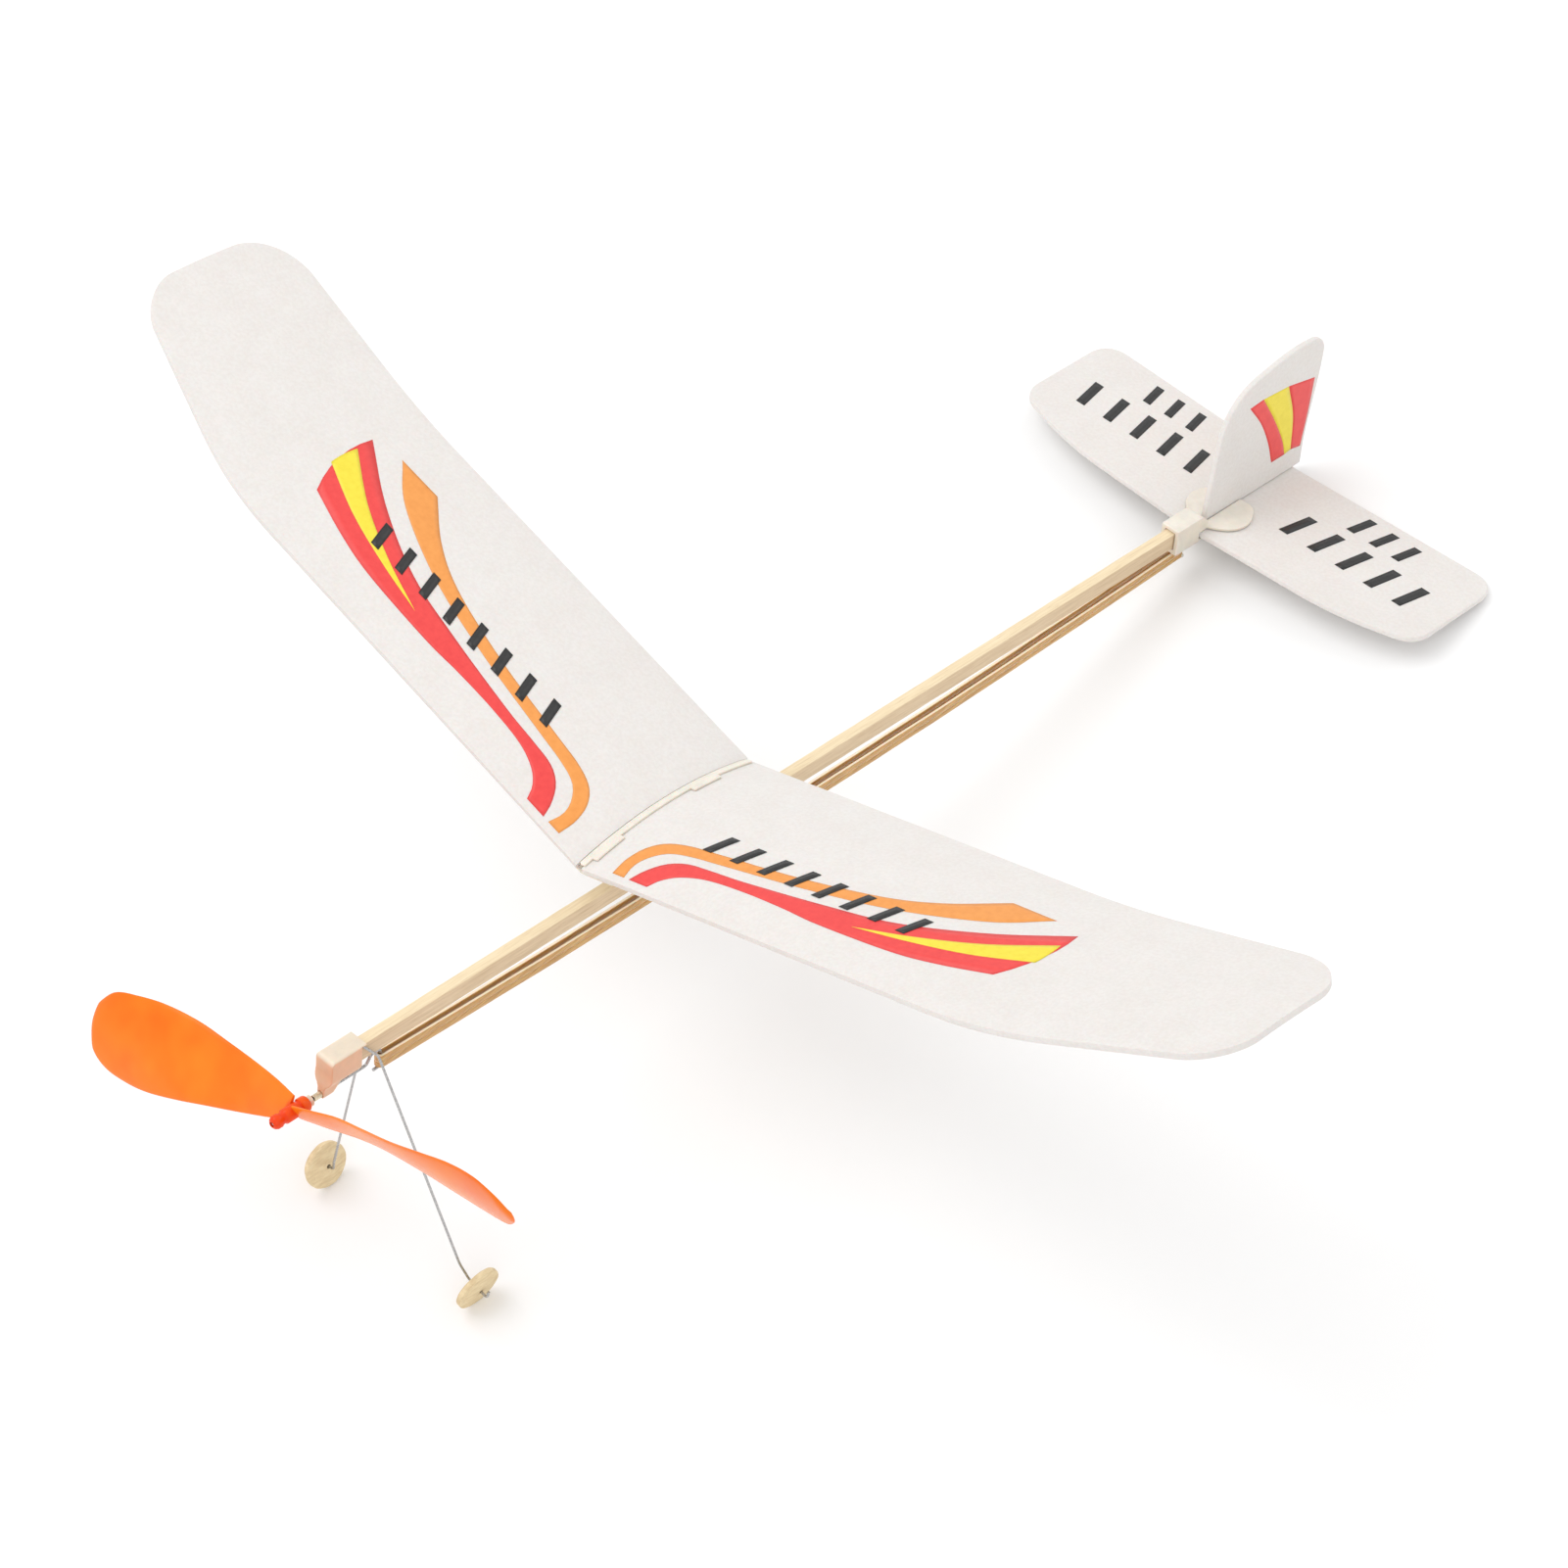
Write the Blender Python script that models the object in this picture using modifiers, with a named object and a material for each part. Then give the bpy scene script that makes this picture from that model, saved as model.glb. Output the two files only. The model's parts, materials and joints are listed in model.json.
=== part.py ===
"""Rubber band plane: a stick-and-foam model aircraft with a wound rubber motor.

Metres, +Z up, nose towards -Y, span along X (the pilot's left wing is +X). The pieces are laid out in
the frame of the motor stick (y aft from the front of the shaft bearing, z up from the stick's top
face), and one empty then tips the whole plane back onto its two wheels and the edge of its tailplane.
"""

import math

import bmesh
import bpy
from mathutils import Matrix, Vector

MM = 0.001
GAP = 0.3 * MM
# how far a cutter runs past what it cuts, in mm
PAST = 5.0

# Motor stick
STICK_WIDTH = 3.6 * MM
STICK_HEIGHT = 6.0 * MM
STICK_FRONT = 6.7 * MM
STICK_REAR = 370.5 * MM
SOCKET = STICK_WIDTH / 2 + GAP
SOCKET_WALL = 1.4 * MM

# Nose bearing: socket round the stick, and a web down to the shaft bearing
NOSE_FRONT = 4.4 * MM
NOSE_REAR = 17.3 * MM
NOSE_NOTCH = 15.5 * MM
NOSE_LIP = 0.45 * MM
SHAFT_Z = -11.3 * MM
BEARING_RADIUS = 1.4 * MM
BEARING_FRONT = 3.2 * MM
BEARING_REAR = 7.2 * MM
BUSH_RADIUS = 0.98 * MM
BUSH_FRONT = 0.4 * MM
BUSH_REAR = 7.6 * MM
WASHER_RADIUS = 1.7 * MM

# Propeller and its wire shaft
SHAFT_RADIUS = 0.5 * MM
SHAFT_BORE = SHAFT_RADIUS + 0.25 * MM
HUB_FRONT = -14.7 * MM
HUB_REAR = -1.9 * MM
HUB_RADIUS = 2.5 * MM
PROP_RADIUS = 90.0 * MM
PROP_TURN = math.radians(15.0)
BLADE_Y = -5.5 * MM
BLADE_THICKNESS = 1.2 * MM
BLADE_CAMBER = 0.05
# radius fraction, leading edge forward and up, trailing edge aft and down from the blade's line, in mm
BLADE_STATIONS = (
    (0.015, 2.5, 3.0, 1.0, 3.5),
    (0.12, 3.0, 5.5, 3.0, 4.0),
    (0.25, 3.5, 8.5, 5.0, 4.0),
    (0.40, 5.0, 11.0, 6.5, 4.5),
    (0.55, 6.5, 13.5, 7.0, 6.0),
    (0.70, 7.0, 16.0, 6.0, 7.0),
    (0.82, 6.5, 17.0, 4.5, 6.5),
    (0.92, 6.0, 16.0, 3.0, 5.0),
    (0.98, 5.0, 12.5, 1.0, 1.0),
    (0.995, 3.5, 9.0, 0.0, -1.5),
    (1.00, 2.0, 5.5, -1.0, -4.0),
)

# Rubber motor: two endless flat bands, one above the other
HOOK_FRONT = 25.5 * MM
HOOK_REAR = 366.0 * MM
BAND_THICKNESS = 1.0 * MM
BAND_GAUGE_FRONT = 1.15 * MM
BAND_GAUGE_REAR = 1.45 * MM
BAND_SAG = 3.4 * MM
# centre height at the front hook, centre height at the rear hook
BAND_UPPER = (-10.85 * MM, -9.35 * MM)
BAND_LOWER = (-13.2 * MM, -11.45 * MM)
BAND_HEIGHT_FRONT = 2.3 * MM
BAND_HEIGHT_REAR = 1.8 * MM

# Wing
WING_HALF_SPAN = 215.0 * MM
ROOT_GAP = 1.05 * MM
ROOT_LE = 101.0 * MM
ROOT_TE = 170.8 * MM
KINK_X = 144.0 * MM
KINK_BLEND = 18.0 * MM
LE_KINK_X = 152.0 * MM
OUTER_LE_SWEEP = 0.315
OUTER_TE_SWEEP = 0.075
LE_CORNER = 13.0 * MM
TE_CORNER = 18.0 * MM
FOAM = 2.0 * MM
ROOT_Z = 12.6 * MM
INNER_DIHEDRAL = 0.305
OUTER_DIHEDRAL = 0.372
ROOT_CAMBER = 5.4 * MM
TIP_CAMBER = 1.6 * MM
TIP_WASH = 3.0 * MM

# Wing rib and saddle
RIB_THICKNESS = 1.5 * MM
RIB_FOOT_Z = 1.9 * MM
RIB_INSET = 1.0 * MM
FLANGE_HALF = 12.0 * MM
FLANGE_THICKNESS = 1.0 * MM
FLANGE_DROP = 2.55 * MM
STRIP_INNER = -0.4 * MM
STRIP_OUTER = 1.7 * MM
STRIP_THICKNESS = 0.6 * MM
TAB_YS = (110.5 * MM, 149.5 * MM)
TAB_HALF = 5.5 * MM
TAB_INNER = 0.8 * MM
TAB_OUTER = 4.2 * MM
TAB_LIFT = 0.4 * MM
TAB_THICKNESS = 0.7 * MM
SADDLE_FRONT = 123.0 * MM
SADDLE_REAR = 166.0 * MM
SADDLE_WALL = 1.2 * MM
SADDLE_CREST = 4.2 * MM
SADDLE_END = 13.0 * MM

# Tail surfaces
STAB_TOP = -4.6 * MM
MOUNT_FRONT = 361.0 * MM
MOUNT_REAR = 373.0 * MM
LOBE_THICKNESS = 1.0 * MM
HOOK_RADIUS = 0.85 * MM
# outlines in mm, each with the size of the bend at every corner
LOBE_OUTLINE = ((0.0, 374.0), (6.0, 376.8), (10.8, 381.4), (11.6, 388.0), (7.0, 394.8), (1.6, 394.4),
                (0.0, 394.4))
LOBE_BENDS = (0, 3, 3, 4, 4, 0, 0)
TONGUE_OUTLINE = ((-3.0, 371.5), (3.0, 371.5), (4.6, 390.0), (-4.6, 390.0))
TONGUE_BENDS = (0, 0, 3, 3)
STAB_OUTLINE = ((0.0, 372.5), (56.0, 375.3), (83.0, 383.6), (83.0, 425.4), (0.0, 421.7))
STAB_BENDS = (0, 22, 7, 9, 0)
FIN_OUTLINE = ((377.4, -4.3), (380.8, 41.4), (411.8, 47.7), (427.2, 46.4), (427.2, 33.0), (424.5, 8.0),
               (424.8, -4.3))
FIN_BENDS = (0, 15, 20, 8, 30, 12, 0)

# Landing gear
GEAR_RADIUS = 0.4 * MM
GEAR_TOP_Y = 16.5 * MM
WHEEL_RADIUS = 7.5 * MM
WHEEL_RIM = 2.2 * MM
WHEEL_HUB = 3.4 * MM
WHEEL_CENTRE = Vector((32.7, 35.7, -87.8)) * MM
AXLE_DROOP = math.radians(13.0)
SETTLING_STEPS = 4

COLOURS = {
    "wood": ((0.78, 0.60, 0.36, 1.0), 0.65, 0.0),
    "wheel_wood": ((0.62, 0.47, 0.26, 1.0), 0.75, 0.0),
    "ivory": ((0.86, 0.79, 0.62, 1.0), 0.45, 0.0),
    "orange": ((0.90, 0.18, 0.02, 1.0), 0.30, 0.0),
    "foam": ((0.86, 0.84, 0.82, 1.0), 0.70, 0.0),
    "steel": ((0.55, 0.55, 0.55, 1.0), 0.30, 1.0),
    "brass": ((0.45, 0.33, 0.15, 1.0), 0.40, 1.0),
    "rubber": ((0.40, 0.20, 0.07, 1.0), 0.45, 0.0),
}


def clear_scene():
    for thing in list(bpy.data.objects):
        bpy.data.objects.remove(thing, do_unlink=True)


def collection(name):
    group = bpy.data.collections.new(name)
    bpy.context.scene.collection.children.link(group)
    return group


def material(key):
    made = bpy.data.materials.get(key)
    if made:
        return made
    colour, roughness, metallic = COLOURS[key]
    made = bpy.data.materials.new(key)
    made.use_nodes = True
    shader = made.node_tree.nodes["Principled BSDF"]
    shader.inputs["Base Color"].default_value = colour
    shader.inputs["Roughness"].default_value = roughness
    shader.inputs["Metallic"].default_value = metallic
    made.diffuse_color = colour
    return made


def add_object(name, data, colour, group, parent):
    thing = bpy.data.objects.new(name, data)
    group.objects.link(thing)
    thing.parent = parent
    data.materials.append(material(colour))
    return thing


def smooth(thing, degrees=35.0):
    thing.data.shade_smooth()
    thing.data.set_sharp_from_angle(angle=math.radians(degrees))
    return thing


def finished(work):
    """A mesh from a bmesh, faces outward when it is closed."""
    bmesh.ops.recalc_face_normals(work, faces=work.faces)
    closed = all(edge.is_manifold for edge in work.edges)
    if closed and work.calc_volume(signed=True) < 0:
        bmesh.ops.reverse_faces(work, faces=work.faces)
    mesh = bpy.data.meshes.new("mesh")
    work.to_mesh(mesh)
    work.free()
    return mesh


def box_mesh(low, high):
    """A box between two opposite corners, given in mm."""
    low, high = Vector(low) * MM, Vector(high) * MM
    work = bmesh.new()
    bmesh.ops.create_cube(work, size=1.0)
    bmesh.ops.scale(work, vec=high - low, verts=work.verts)
    bmesh.ops.translate(work, vec=(low + high) / 2, verts=work.verts)
    return finished(work)


def stick_pocket(front, rear):
    """The room that the stick takes up between two places given in mm, with a gap all round."""
    reach = SOCKET / MM
    return box_mesh((-reach, front, -(STICK_HEIGHT + GAP) / MM), (reach, rear, GAP / MM))


def rod_mesh(radius, front, rear, sides=24):
    """A round bar on the shaft's line."""
    work = bmesh.new()
    bmesh.ops.create_cone(work, cap_ends=True, segments=sides, radius1=radius, radius2=radius,
                          depth=rear - front)
    bmesh.ops.rotate(work, verts=work.verts, matrix=Matrix.Rotation(math.pi / 2, 3, "X"))
    bmesh.ops.translate(work, verts=work.verts, vec=(0.0, (front + rear) / 2, SHAFT_Z))
    return finished(work)


def turned(name, profile, colour, group, parent, sides=24):
    """Turns a closed profile of (radius, height) about Z; its outer side comes first, top to bottom."""
    work = bmesh.new()
    verts = [work.verts.new((radius, 0.0, height)) for radius, height in profile]
    for start, end in zip(verts, verts[1:] + verts[:1]):
        work.edges.new((start, end))
    mesh = bpy.data.meshes.new("profile")
    work.to_mesh(mesh)
    work.free()
    piece = add_object(name, mesh, colour, group, parent)
    screw = piece.modifiers.new("turn", "SCREW")
    screw.steps = sides
    screw.render_steps = sides
    screw.use_merge_vertices = True
    screw.merge_threshold = 0.01 * MM
    return piece


def in_mm(points):
    return [Vector(point) * MM for point in points]


def both_sides(half):
    """Completes an outline that starts and ends on the line x = 0."""
    return half + [Vector((-point.x, point.y)) for point in reversed(half[1:-1])]


def rounded(points, radii, steps=6):
    """A closed 2D outline whose corners become bends, each starting `radius` before its corner."""
    out = []
    for index, radius in enumerate(radii):
        corner = points[index]
        back = points[index - 1] - corner
        ahead = points[(index + 1) % len(points)] - corner
        reach = min(radius * MM, back.length * 0.49, ahead.length * 0.49)
        if reach > 0:
            start = corner + back.normalized() * reach
            end = corner + ahead.normalized() * reach
            out += bend(start, corner, end, steps)
        else:
            out.append(corner)
    return out


def rounded_path(points, radius, steps=4):
    """An open wire path with bends of one size at its inner corners."""
    out = [points[0]]
    for before, corner, after in zip(points, points[1:], points[2:]):
        reach = min(radius, (before - corner).length * 0.45, (after - corner).length * 0.45)
        start = corner + (before - corner).normalized() * reach
        end = corner + (after - corner).normalized() * reach
        out += bend(start, corner, end, steps)
    out.append(points[-1])
    return out


def bend(before, corner, after, steps, weight=0.85):
    """Points on a smooth bend between two runs that meet at a corner."""
    points = []
    for step in range(steps + 1):
        t = step / steps
        total = (1 - t) ** 2 + 2 * weight * t * (1 - t) + t**2
        points.append(((1 - t) ** 2 * before + 2 * weight * t * (1 - t) * corner + t**2 * after) / total)
    return points


def curve_data(name, points, cyclic):
    """A straight-segment curve through the points, 2D or 3D to suit them."""
    curve = bpy.data.curves.new(name, "CURVE")
    curve.dimensions = "3D" if len(points[0]) == 3 else "2D"
    spline = curve.splines.new("POLY")
    spline.points.add(len(points) - 1)
    for point, place in zip(spline.points, points):
        point.co = (*place.to_3d(), 1.0)
    spline.use_cyclic_u = cyclic
    return curve


def welded_mesh(curve):
    """Turns a curve into a mesh with its caps welded on, and removes the curve."""
    guide = bpy.data.objects.new("guide", curve)
    bpy.context.scene.collection.objects.link(guide)
    graph = bpy.context.evaluated_depsgraph_get()
    mesh = bpy.data.meshes.new_from_object(guide.evaluated_get(graph))
    bpy.data.objects.remove(guide, do_unlink=True)
    bpy.data.curves.remove(curve)
    work = bmesh.new()
    work.from_mesh(mesh)
    bpy.data.meshes.remove(mesh)
    bmesh.ops.remove_doubles(work, verts=work.verts, dist=0.005 * MM)
    return finished(work)


def plate_mesh(outline, low, high, across):
    """A flat outline given thickness, from `low` to `high` along the axis that it lies across.

    Across Z the outline's points are (x, y); across X they are (y, z); across Y they are (x, z).
    """
    curve = curve_data("outline", outline, True)
    curve.fill_mode = "BOTH"
    curve.extrude = (high - low) / 2
    mesh = welded_mesh(curve)
    upright = Matrix.Rotation(math.pi / 2, 4, "X")
    turn = {"Z": Matrix(), "X": Matrix.Rotation(math.pi / 2, 4, "Z") @ upright, "Y": upright}[across]
    middle = Vector({"Z": (0, 0, 1), "X": (1, 0, 0), "Y": (0, 1, 0)}[across]) * (low + high) / 2
    mesh.transform(Matrix.Translation(middle) @ turn)
    return mesh


def wire_curve(points, radius):
    curve = curve_data("wire", points, False)
    curve.bevel_depth = radius
    curve.bevel_resolution = 2
    curve.use_fill_caps = True
    return curve


def hidden(name, mesh, cutters, parent):
    cutter = bpy.data.objects.new(name, mesh)
    cutters.objects.link(cutter)
    cutter.parent = parent
    cutter.hide_render = True
    cutter.display_type = "WIRE"
    return cutter


def combine(thing, cutter, operation):
    modifier = thing.modifiers.new(operation.lower(), "BOOLEAN")
    modifier.operation = operation
    modifier.object = cutter


def cut(thing, mesh, operation, cutters):
    combine(thing, hidden(thing.name + "_" + operation.lower(), mesh, cutters, thing.parent), operation)


def bevel(thing, width, segments=1):
    modifier = thing.modifiers.new("bevel", "BEVEL")
    modifier.width = width
    modifier.segments = segments
    modifier.limit_method = "ANGLE"
    modifier.angle_limit = math.radians(40.0)


def solidify(thing, thickness, offset):
    modifier = thing.modifiers.new("thickness", "SOLIDIFY")
    modifier.thickness = thickness
    modifier.offset = offset


def sheet_mesh(columns, rows, place):
    """A grid whose points go where `place` puts them; it is given 0 to 1 along and across."""
    work = bmesh.new()
    bmesh.ops.create_grid(work, x_segments=columns, y_segments=rows, size=0.5)
    for vert in work.verts:
        vert.co = place(vert.co.x + 0.5, vert.co.y + 0.5)
    mesh = finished(work)
    if mesh.polygons[0].normal.z < 0:
        mesh.flip_normals()
    return mesh


def corner_inset(distance, radius):
    """How far a quarter-round corner has pulled an edge in, `distance` before the tip."""
    if distance >= radius:
        return 0.0
    return radius - math.sqrt(radius**2 - (radius - distance) ** 2)


def blended_kink(x, slope_in, slope_out, kink=KINK_X):
    """Rises at slope_in up to the kink and slope_out beyond it, with a round bend between."""
    start = kink - KINK_BLEND
    end = kink + KINK_BLEND
    if x <= start:
        return slope_in * x
    if x >= end:
        return slope_in * kink + slope_out * (x - kink)
    t = x - start
    return slope_in * x + (slope_out - slope_in) * t**2 / (4 * KINK_BLEND)


def wing_edges(x):
    """The wing's leading and trailing edge at a distance x from the centre."""
    to_tip = WING_HALF_SPAN - x
    lead = ROOT_LE + blended_kink(x, 0.0, OUTER_LE_SWEEP, LE_KINK_X) + corner_inset(to_tip, LE_CORNER)
    trail = ROOT_TE + blended_kink(x, 0.0, OUTER_TE_SWEEP) - corner_inset(to_tip, TE_CORNER)
    return lead, trail


def wing_height(x, y):
    """The height of the foam's top face at a distance x from the centre."""
    lead, trail = wing_edges(min(x, WING_HALF_SPAN - LE_CORNER))
    across = min(max((y - lead) / (trail - lead), 0.0), 1.0)
    span = x / WING_HALF_SPAN
    camber = ROOT_CAMBER + (TIP_CAMBER - ROOT_CAMBER) * min(span / 0.7, 1.0)
    rise = blended_kink(x, INNER_DIHEDRAL, OUTER_DIHEDRAL)
    return ROOT_Z + FOAM + rise + camber * 4 * across * (1 - across) + TIP_WASH * span * (0.5 - across)


def wing_panel(name, side, group, parent):
    """One foam half: a cambered sheet with a soft bend outboard and rounded tip corners."""
    def place(along, across):
        # stations crowd towards the round tip
        x = ROOT_GAP + (WING_HALF_SPAN - ROOT_GAP) * math.sin(along * math.pi / 2)
        lead, trail = wing_edges(x)
        y = lead + across * (trail - lead)
        return Vector((side * x, y, wing_height(x, y)))

    panel = add_object(name, sheet_mesh(26, 8, place), "foam", group, parent)
    smooth(panel, 60.0)
    solidify(panel, FOAM, -1.0)
    return panel


def motor_stick(group, parent):
    half = STICK_WIDTH / 2 / MM
    mesh = box_mesh((-half, STICK_FRONT / MM, -STICK_HEIGHT / MM), (half, STICK_REAR / MM, 0.0))
    bevel(add_object("motor_stick", mesh, "wood", group, parent), 0.25 * MM)


def nose_bearing(group, cutters, parent):
    """Socket on the front of the stick, with a tapering web down to the shaft bearing."""
    top = (GAP + SOCKET_WALL) / MM
    half = (SOCKET + SOCKET_WALL) / MM
    neck = BEARING_RADIUS / MM
    low = SHAFT_Z / MM - neck
    profile = rounded(
        in_mm(((NOSE_FRONT / MM, top), (NOSE_REAR / MM, top), (NOSE_REAR / MM, -7.8),
               (10.8, -8.0), (BEARING_REAR / MM, low + 0.9), (BEARING_REAR / MM - 0.6, low),
               (BEARING_FRONT / MM, low), (BEARING_FRONT / MM, -8.8), (4.4, -4.5))),
        (1.6, 0.2, 1.2, 2.0, 0.4, 0.4, 0.4, 1.6, 2.0), steps=4)
    front_view = in_mm(((-half, top), (-half, -6.4), (-neck, -8.6), (-neck, low), (neck, low),
                        (neck, -8.6), (half, -6.4), (half, top)))
    nose = add_object("nose_bearing", plate_mesh(profile, -2 * SOCKET_WALL - SOCKET,
                                                 2 * SOCKET_WALL + SOCKET, "X"), "ivory", group, parent)
    cut(nose, plate_mesh(front_view, -1 * MM, NOSE_REAR + 1 * MM, "Y"), "INTERSECT", cutters)
    bevel(nose, 0.3 * MM)
    # the wheel wire crosses the stick in a notch under the socket's rear lip
    lip = top - NOSE_LIP / MM
    cut(nose, box_mesh((-10.0, NOSE_NOTCH / MM, -20.0), (10.0, 30.0, lip)), "DIFFERENCE", cutters)
    cut(nose, stick_pocket((STICK_FRONT - GAP) / MM, NOSE_REAR / MM + PAST), "DIFFERENCE", cutters)
    cut(nose, rod_mesh(BUSH_RADIUS + GAP / 3, -5 * MM, 20 * MM), "DIFFERENCE", cutters)


def shaft_sleeve(name, outer, front, rear, colour, group, parent):
    """A turned sleeve on the shaft's line."""
    length = rear - front
    profile = ((outer, length), (outer, 0.0), (SHAFT_BORE, 0.0), (SHAFT_BORE, length))
    sleeve = turned(name, profile, colour, group, parent)
    sleeve.rotation_euler.x = -math.pi / 2
    sleeve.location = (0.0, front, SHAFT_Z)


def prop_shaft(group, parent):
    """Wire from the propeller hub through the bearing to the hook that holds the bands."""
    hook = (HOOK_FRONT / MM, SHAFT_Z / MM)
    corners = ((0, HUB_FRONT / MM + 1.5, hook[1]), (0, hook[0] - 5.2, hook[1]),
               (0, hook[0] - 3.4, hook[1] + 3.2), (0, hook[0], hook[1] + 3.2),
               (0, hook[0], hook[1] - 3.6), (0, hook[0] - 2.6, hook[1] - 3.7))
    path = [point - Vector((0.0, 0.0, SHAFT_Z)) for point in in_mm(corners)]
    shaft = add_object("prop_shaft", wire_curve(rounded_path(path, 1.0 * MM), SHAFT_RADIUS), "steel",
                       group, parent)
    shaft.location.z = SHAFT_Z


def station_value(fraction, column):
    """A smooth curve through one column of the blade stations."""
    rows = BLADE_STATIONS
    index = 0
    while index < len(rows) - 2 and fraction > rows[index + 1][0]:
        index += 1
    before, start, end = rows[max(index - 1, 0)], rows[index], rows[index + 1]
    after = rows[min(index + 2, len(rows) - 1)]
    width = end[0] - start[0]
    t = (fraction - start[0]) / width
    slope_in = (end[column] - before[column]) / (end[0] - before[0]) * width
    slope_out = (after[column] - start[column]) / (after[0] - start[0]) * width
    return ((2 * t**3 - 3 * t**2 + 1) * start[column] + (t**3 - 2 * t**2 + t) * slope_in
            + (3 * t**2 - 2 * t**3) * end[column] + (t**3 - t**2) * slope_out)


def blade_point(along, across):
    """A point of the blade that lies along +X, before it is turned to its rest angle."""
    root = BLADE_STATIONS[0][0]
    fraction = root + (1.0 - root) * math.sin(along * math.pi / 2)
    lead = Vector((0.0, -station_value(fraction, 1), station_value(fraction, 2))) * MM
    trail = Vector((0.0, station_value(fraction, 3), -station_value(fraction, 4))) * MM
    chord = lead - trail
    normal = Vector((0.0, -chord.z, chord.y))
    return (Vector((fraction * PROP_RADIUS, 0.0, 0.0)) + trail + chord * across
            + normal * BLADE_CAMBER * 4 * across * (1 - across))


def propeller(group, cutters, parent):
    """One moulding: a round-nosed hub on the shaft, and two twisted blades."""
    length = HUB_REAR - HUB_FRONT
    bore = SHAFT_RADIUS + GAP
    profile = ((HUB_RADIUS, length), (HUB_RADIUS, 1.4 * MM), (HUB_RADIUS * 0.8, 0.5 * MM),
               (HUB_RADIUS * 0.5, 0.0), (bore, 0.0), (bore, length))
    prop = turned("propeller", profile, "orange", group, parent, 28)
    prop.rotation_euler.x = -math.pi / 2
    prop.location = (0.0, HUB_FRONT, SHAFT_Z)
    for index in range(2):
        blade = hidden("blade_%d" % index, sheet_mesh(20, 6, blade_point), cutters, parent)
        blade.rotation_euler.y = -PROP_TURN + index * math.pi
        blade.location = (0.0, BLADE_Y, SHAFT_Z)
        solidify(blade, BLADE_THICKNESS, 0.0)
        combine(prop, blade, "UNION")
    cut(prop, rod_mesh(bore, HUB_FRONT - 1 * MM, HUB_REAR + 1 * MM), "DIFFERENCE", cutters)


def rubber_band(name, heights, group, parent):
    """An endless flat band round the two hooks: an open hoop drawn out long, sagging a little."""
    hoop, middle, reach = 36, (HOOK_FRONT + HOOK_REAR) / 2, (HOOK_REAR - HOOK_FRONT) / 2
    work = bmesh.new()
    bmesh.ops.create_cone(work, cap_ends=False, segments=hoop, radius1=1.0, radius2=1.0, depth=1.0)
    for vert in work.verts:
        turn = math.atan2(vert.co.y, vert.co.x)
        # the two ends are half circles round the hooks, and the runs between them are straight
        end_turn = math.pi / 3
        side = 1.0 if math.cos(turn) >= 0 else -1.0
        end = 1.0 if math.sin(turn) >= 0 else -1.0
        gauge = BAND_GAUGE_REAR if end > 0 else BAND_GAUGE_FRONT
        spot = math.asin(abs(math.sin(turn)))
        if spot > end_turn:
            angle = (spot - end_turn) / (math.pi / 2 - end_turn) * math.pi / 2
            x = gauge * math.cos(angle)
            y = reach + gauge * math.sin(angle)
        else:
            x = (BAND_GAUGE_FRONT + BAND_GAUGE_REAR) / 2
            x += (gauge - x) * spot / end_turn
            y = reach * spot / end_turn
        t = min(max((end * y + reach) / (2 * reach), 0.0), 1.0)
        height = BAND_HEIGHT_FRONT + (BAND_HEIGHT_REAR - BAND_HEIGHT_FRONT) * t
        z = heights[0] + (heights[1] - heights[0]) * t - BAND_SAG * 4 * t * (1 - t)
        vert.co = Vector((side * x, middle + end * y, z + vert.co.z * height))
    band = add_object(name, finished(work), "rubber", group, parent)
    solidify(band, BAND_THICKNESS, 0.0)


def tail_mount(group, cutters, parent):
    """Socket on the rear of the stick, a hook for the bands, and lobes that grip the tailplane."""
    front, rear = MOUNT_FRONT / MM, MOUNT_REAR / MM
    top = (GAP + SOCKET_WALL) / MM
    half = SOCKET + SOCKET_WALL
    seat_top = STAB_TOP + GAP
    seat_floor = STAB_TOP - FOAM - GAP
    low = (seat_floor - LOBE_THICKNESS) / MM
    profile = rounded(
        in_mm(((front, top), (rear, top), (rear + 3, -1.2), (rear + 3, low), (front, low - 0.1))),
        (0.4, 1.0, 0.8, 0.0, 0.4), steps=3)
    mount = add_object("tail_mount", plate_mesh(profile, -half, half, "X"), "ivory", group, parent)
    # two lobes above the foam and one tongue below it, trimmed flush with the foam's seat
    plan = both_sides(rounded(in_mm(LOBE_OUTLINE), LOBE_BENDS, steps=4))
    overlap = FOAM / 2
    cut(mount, plate_mesh(plan, seat_top - overlap, seat_top + LOBE_THICKNESS, "Z"), "UNION", cutters)
    tongue = rounded(in_mm(TONGUE_OUTLINE), TONGUE_BENDS, steps=3)
    cut(mount, plate_mesh(tongue, seat_floor - LOBE_THICKNESS * 0.9, seat_floor + overlap, "Z"), "UNION",
        cutters)
    hook = in_mm(((0, HOOK_REAR / MM, low + 0.6), (0, HOOK_REAR / MM, -13.4),
                  (0, HOOK_REAR / MM + 3.4, -13.9)))
    cut(mount, welded_mesh(wire_curve(rounded_path(hook, 1.0 * MM), HOOK_RADIUS)), "UNION", cutters)
    cut(mount, stick_pocket(front - PAST, (STICK_REAR + GAP) / MM), "DIFFERENCE", cutters)
    slot = (FOAM / 2 + GAP) / MM
    cut(mount, box_mesh((-slot, rear + 3.5, seat_top / MM - 0.5), (slot, 400.0, 5.0)), "DIFFERENCE",
        cutters)
    cut(mount, box_mesh((-40.0, rear - 0.8, seat_floor / MM), (40.0, 400.0, seat_top / MM)),
        "DIFFERENCE", cutters)


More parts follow.
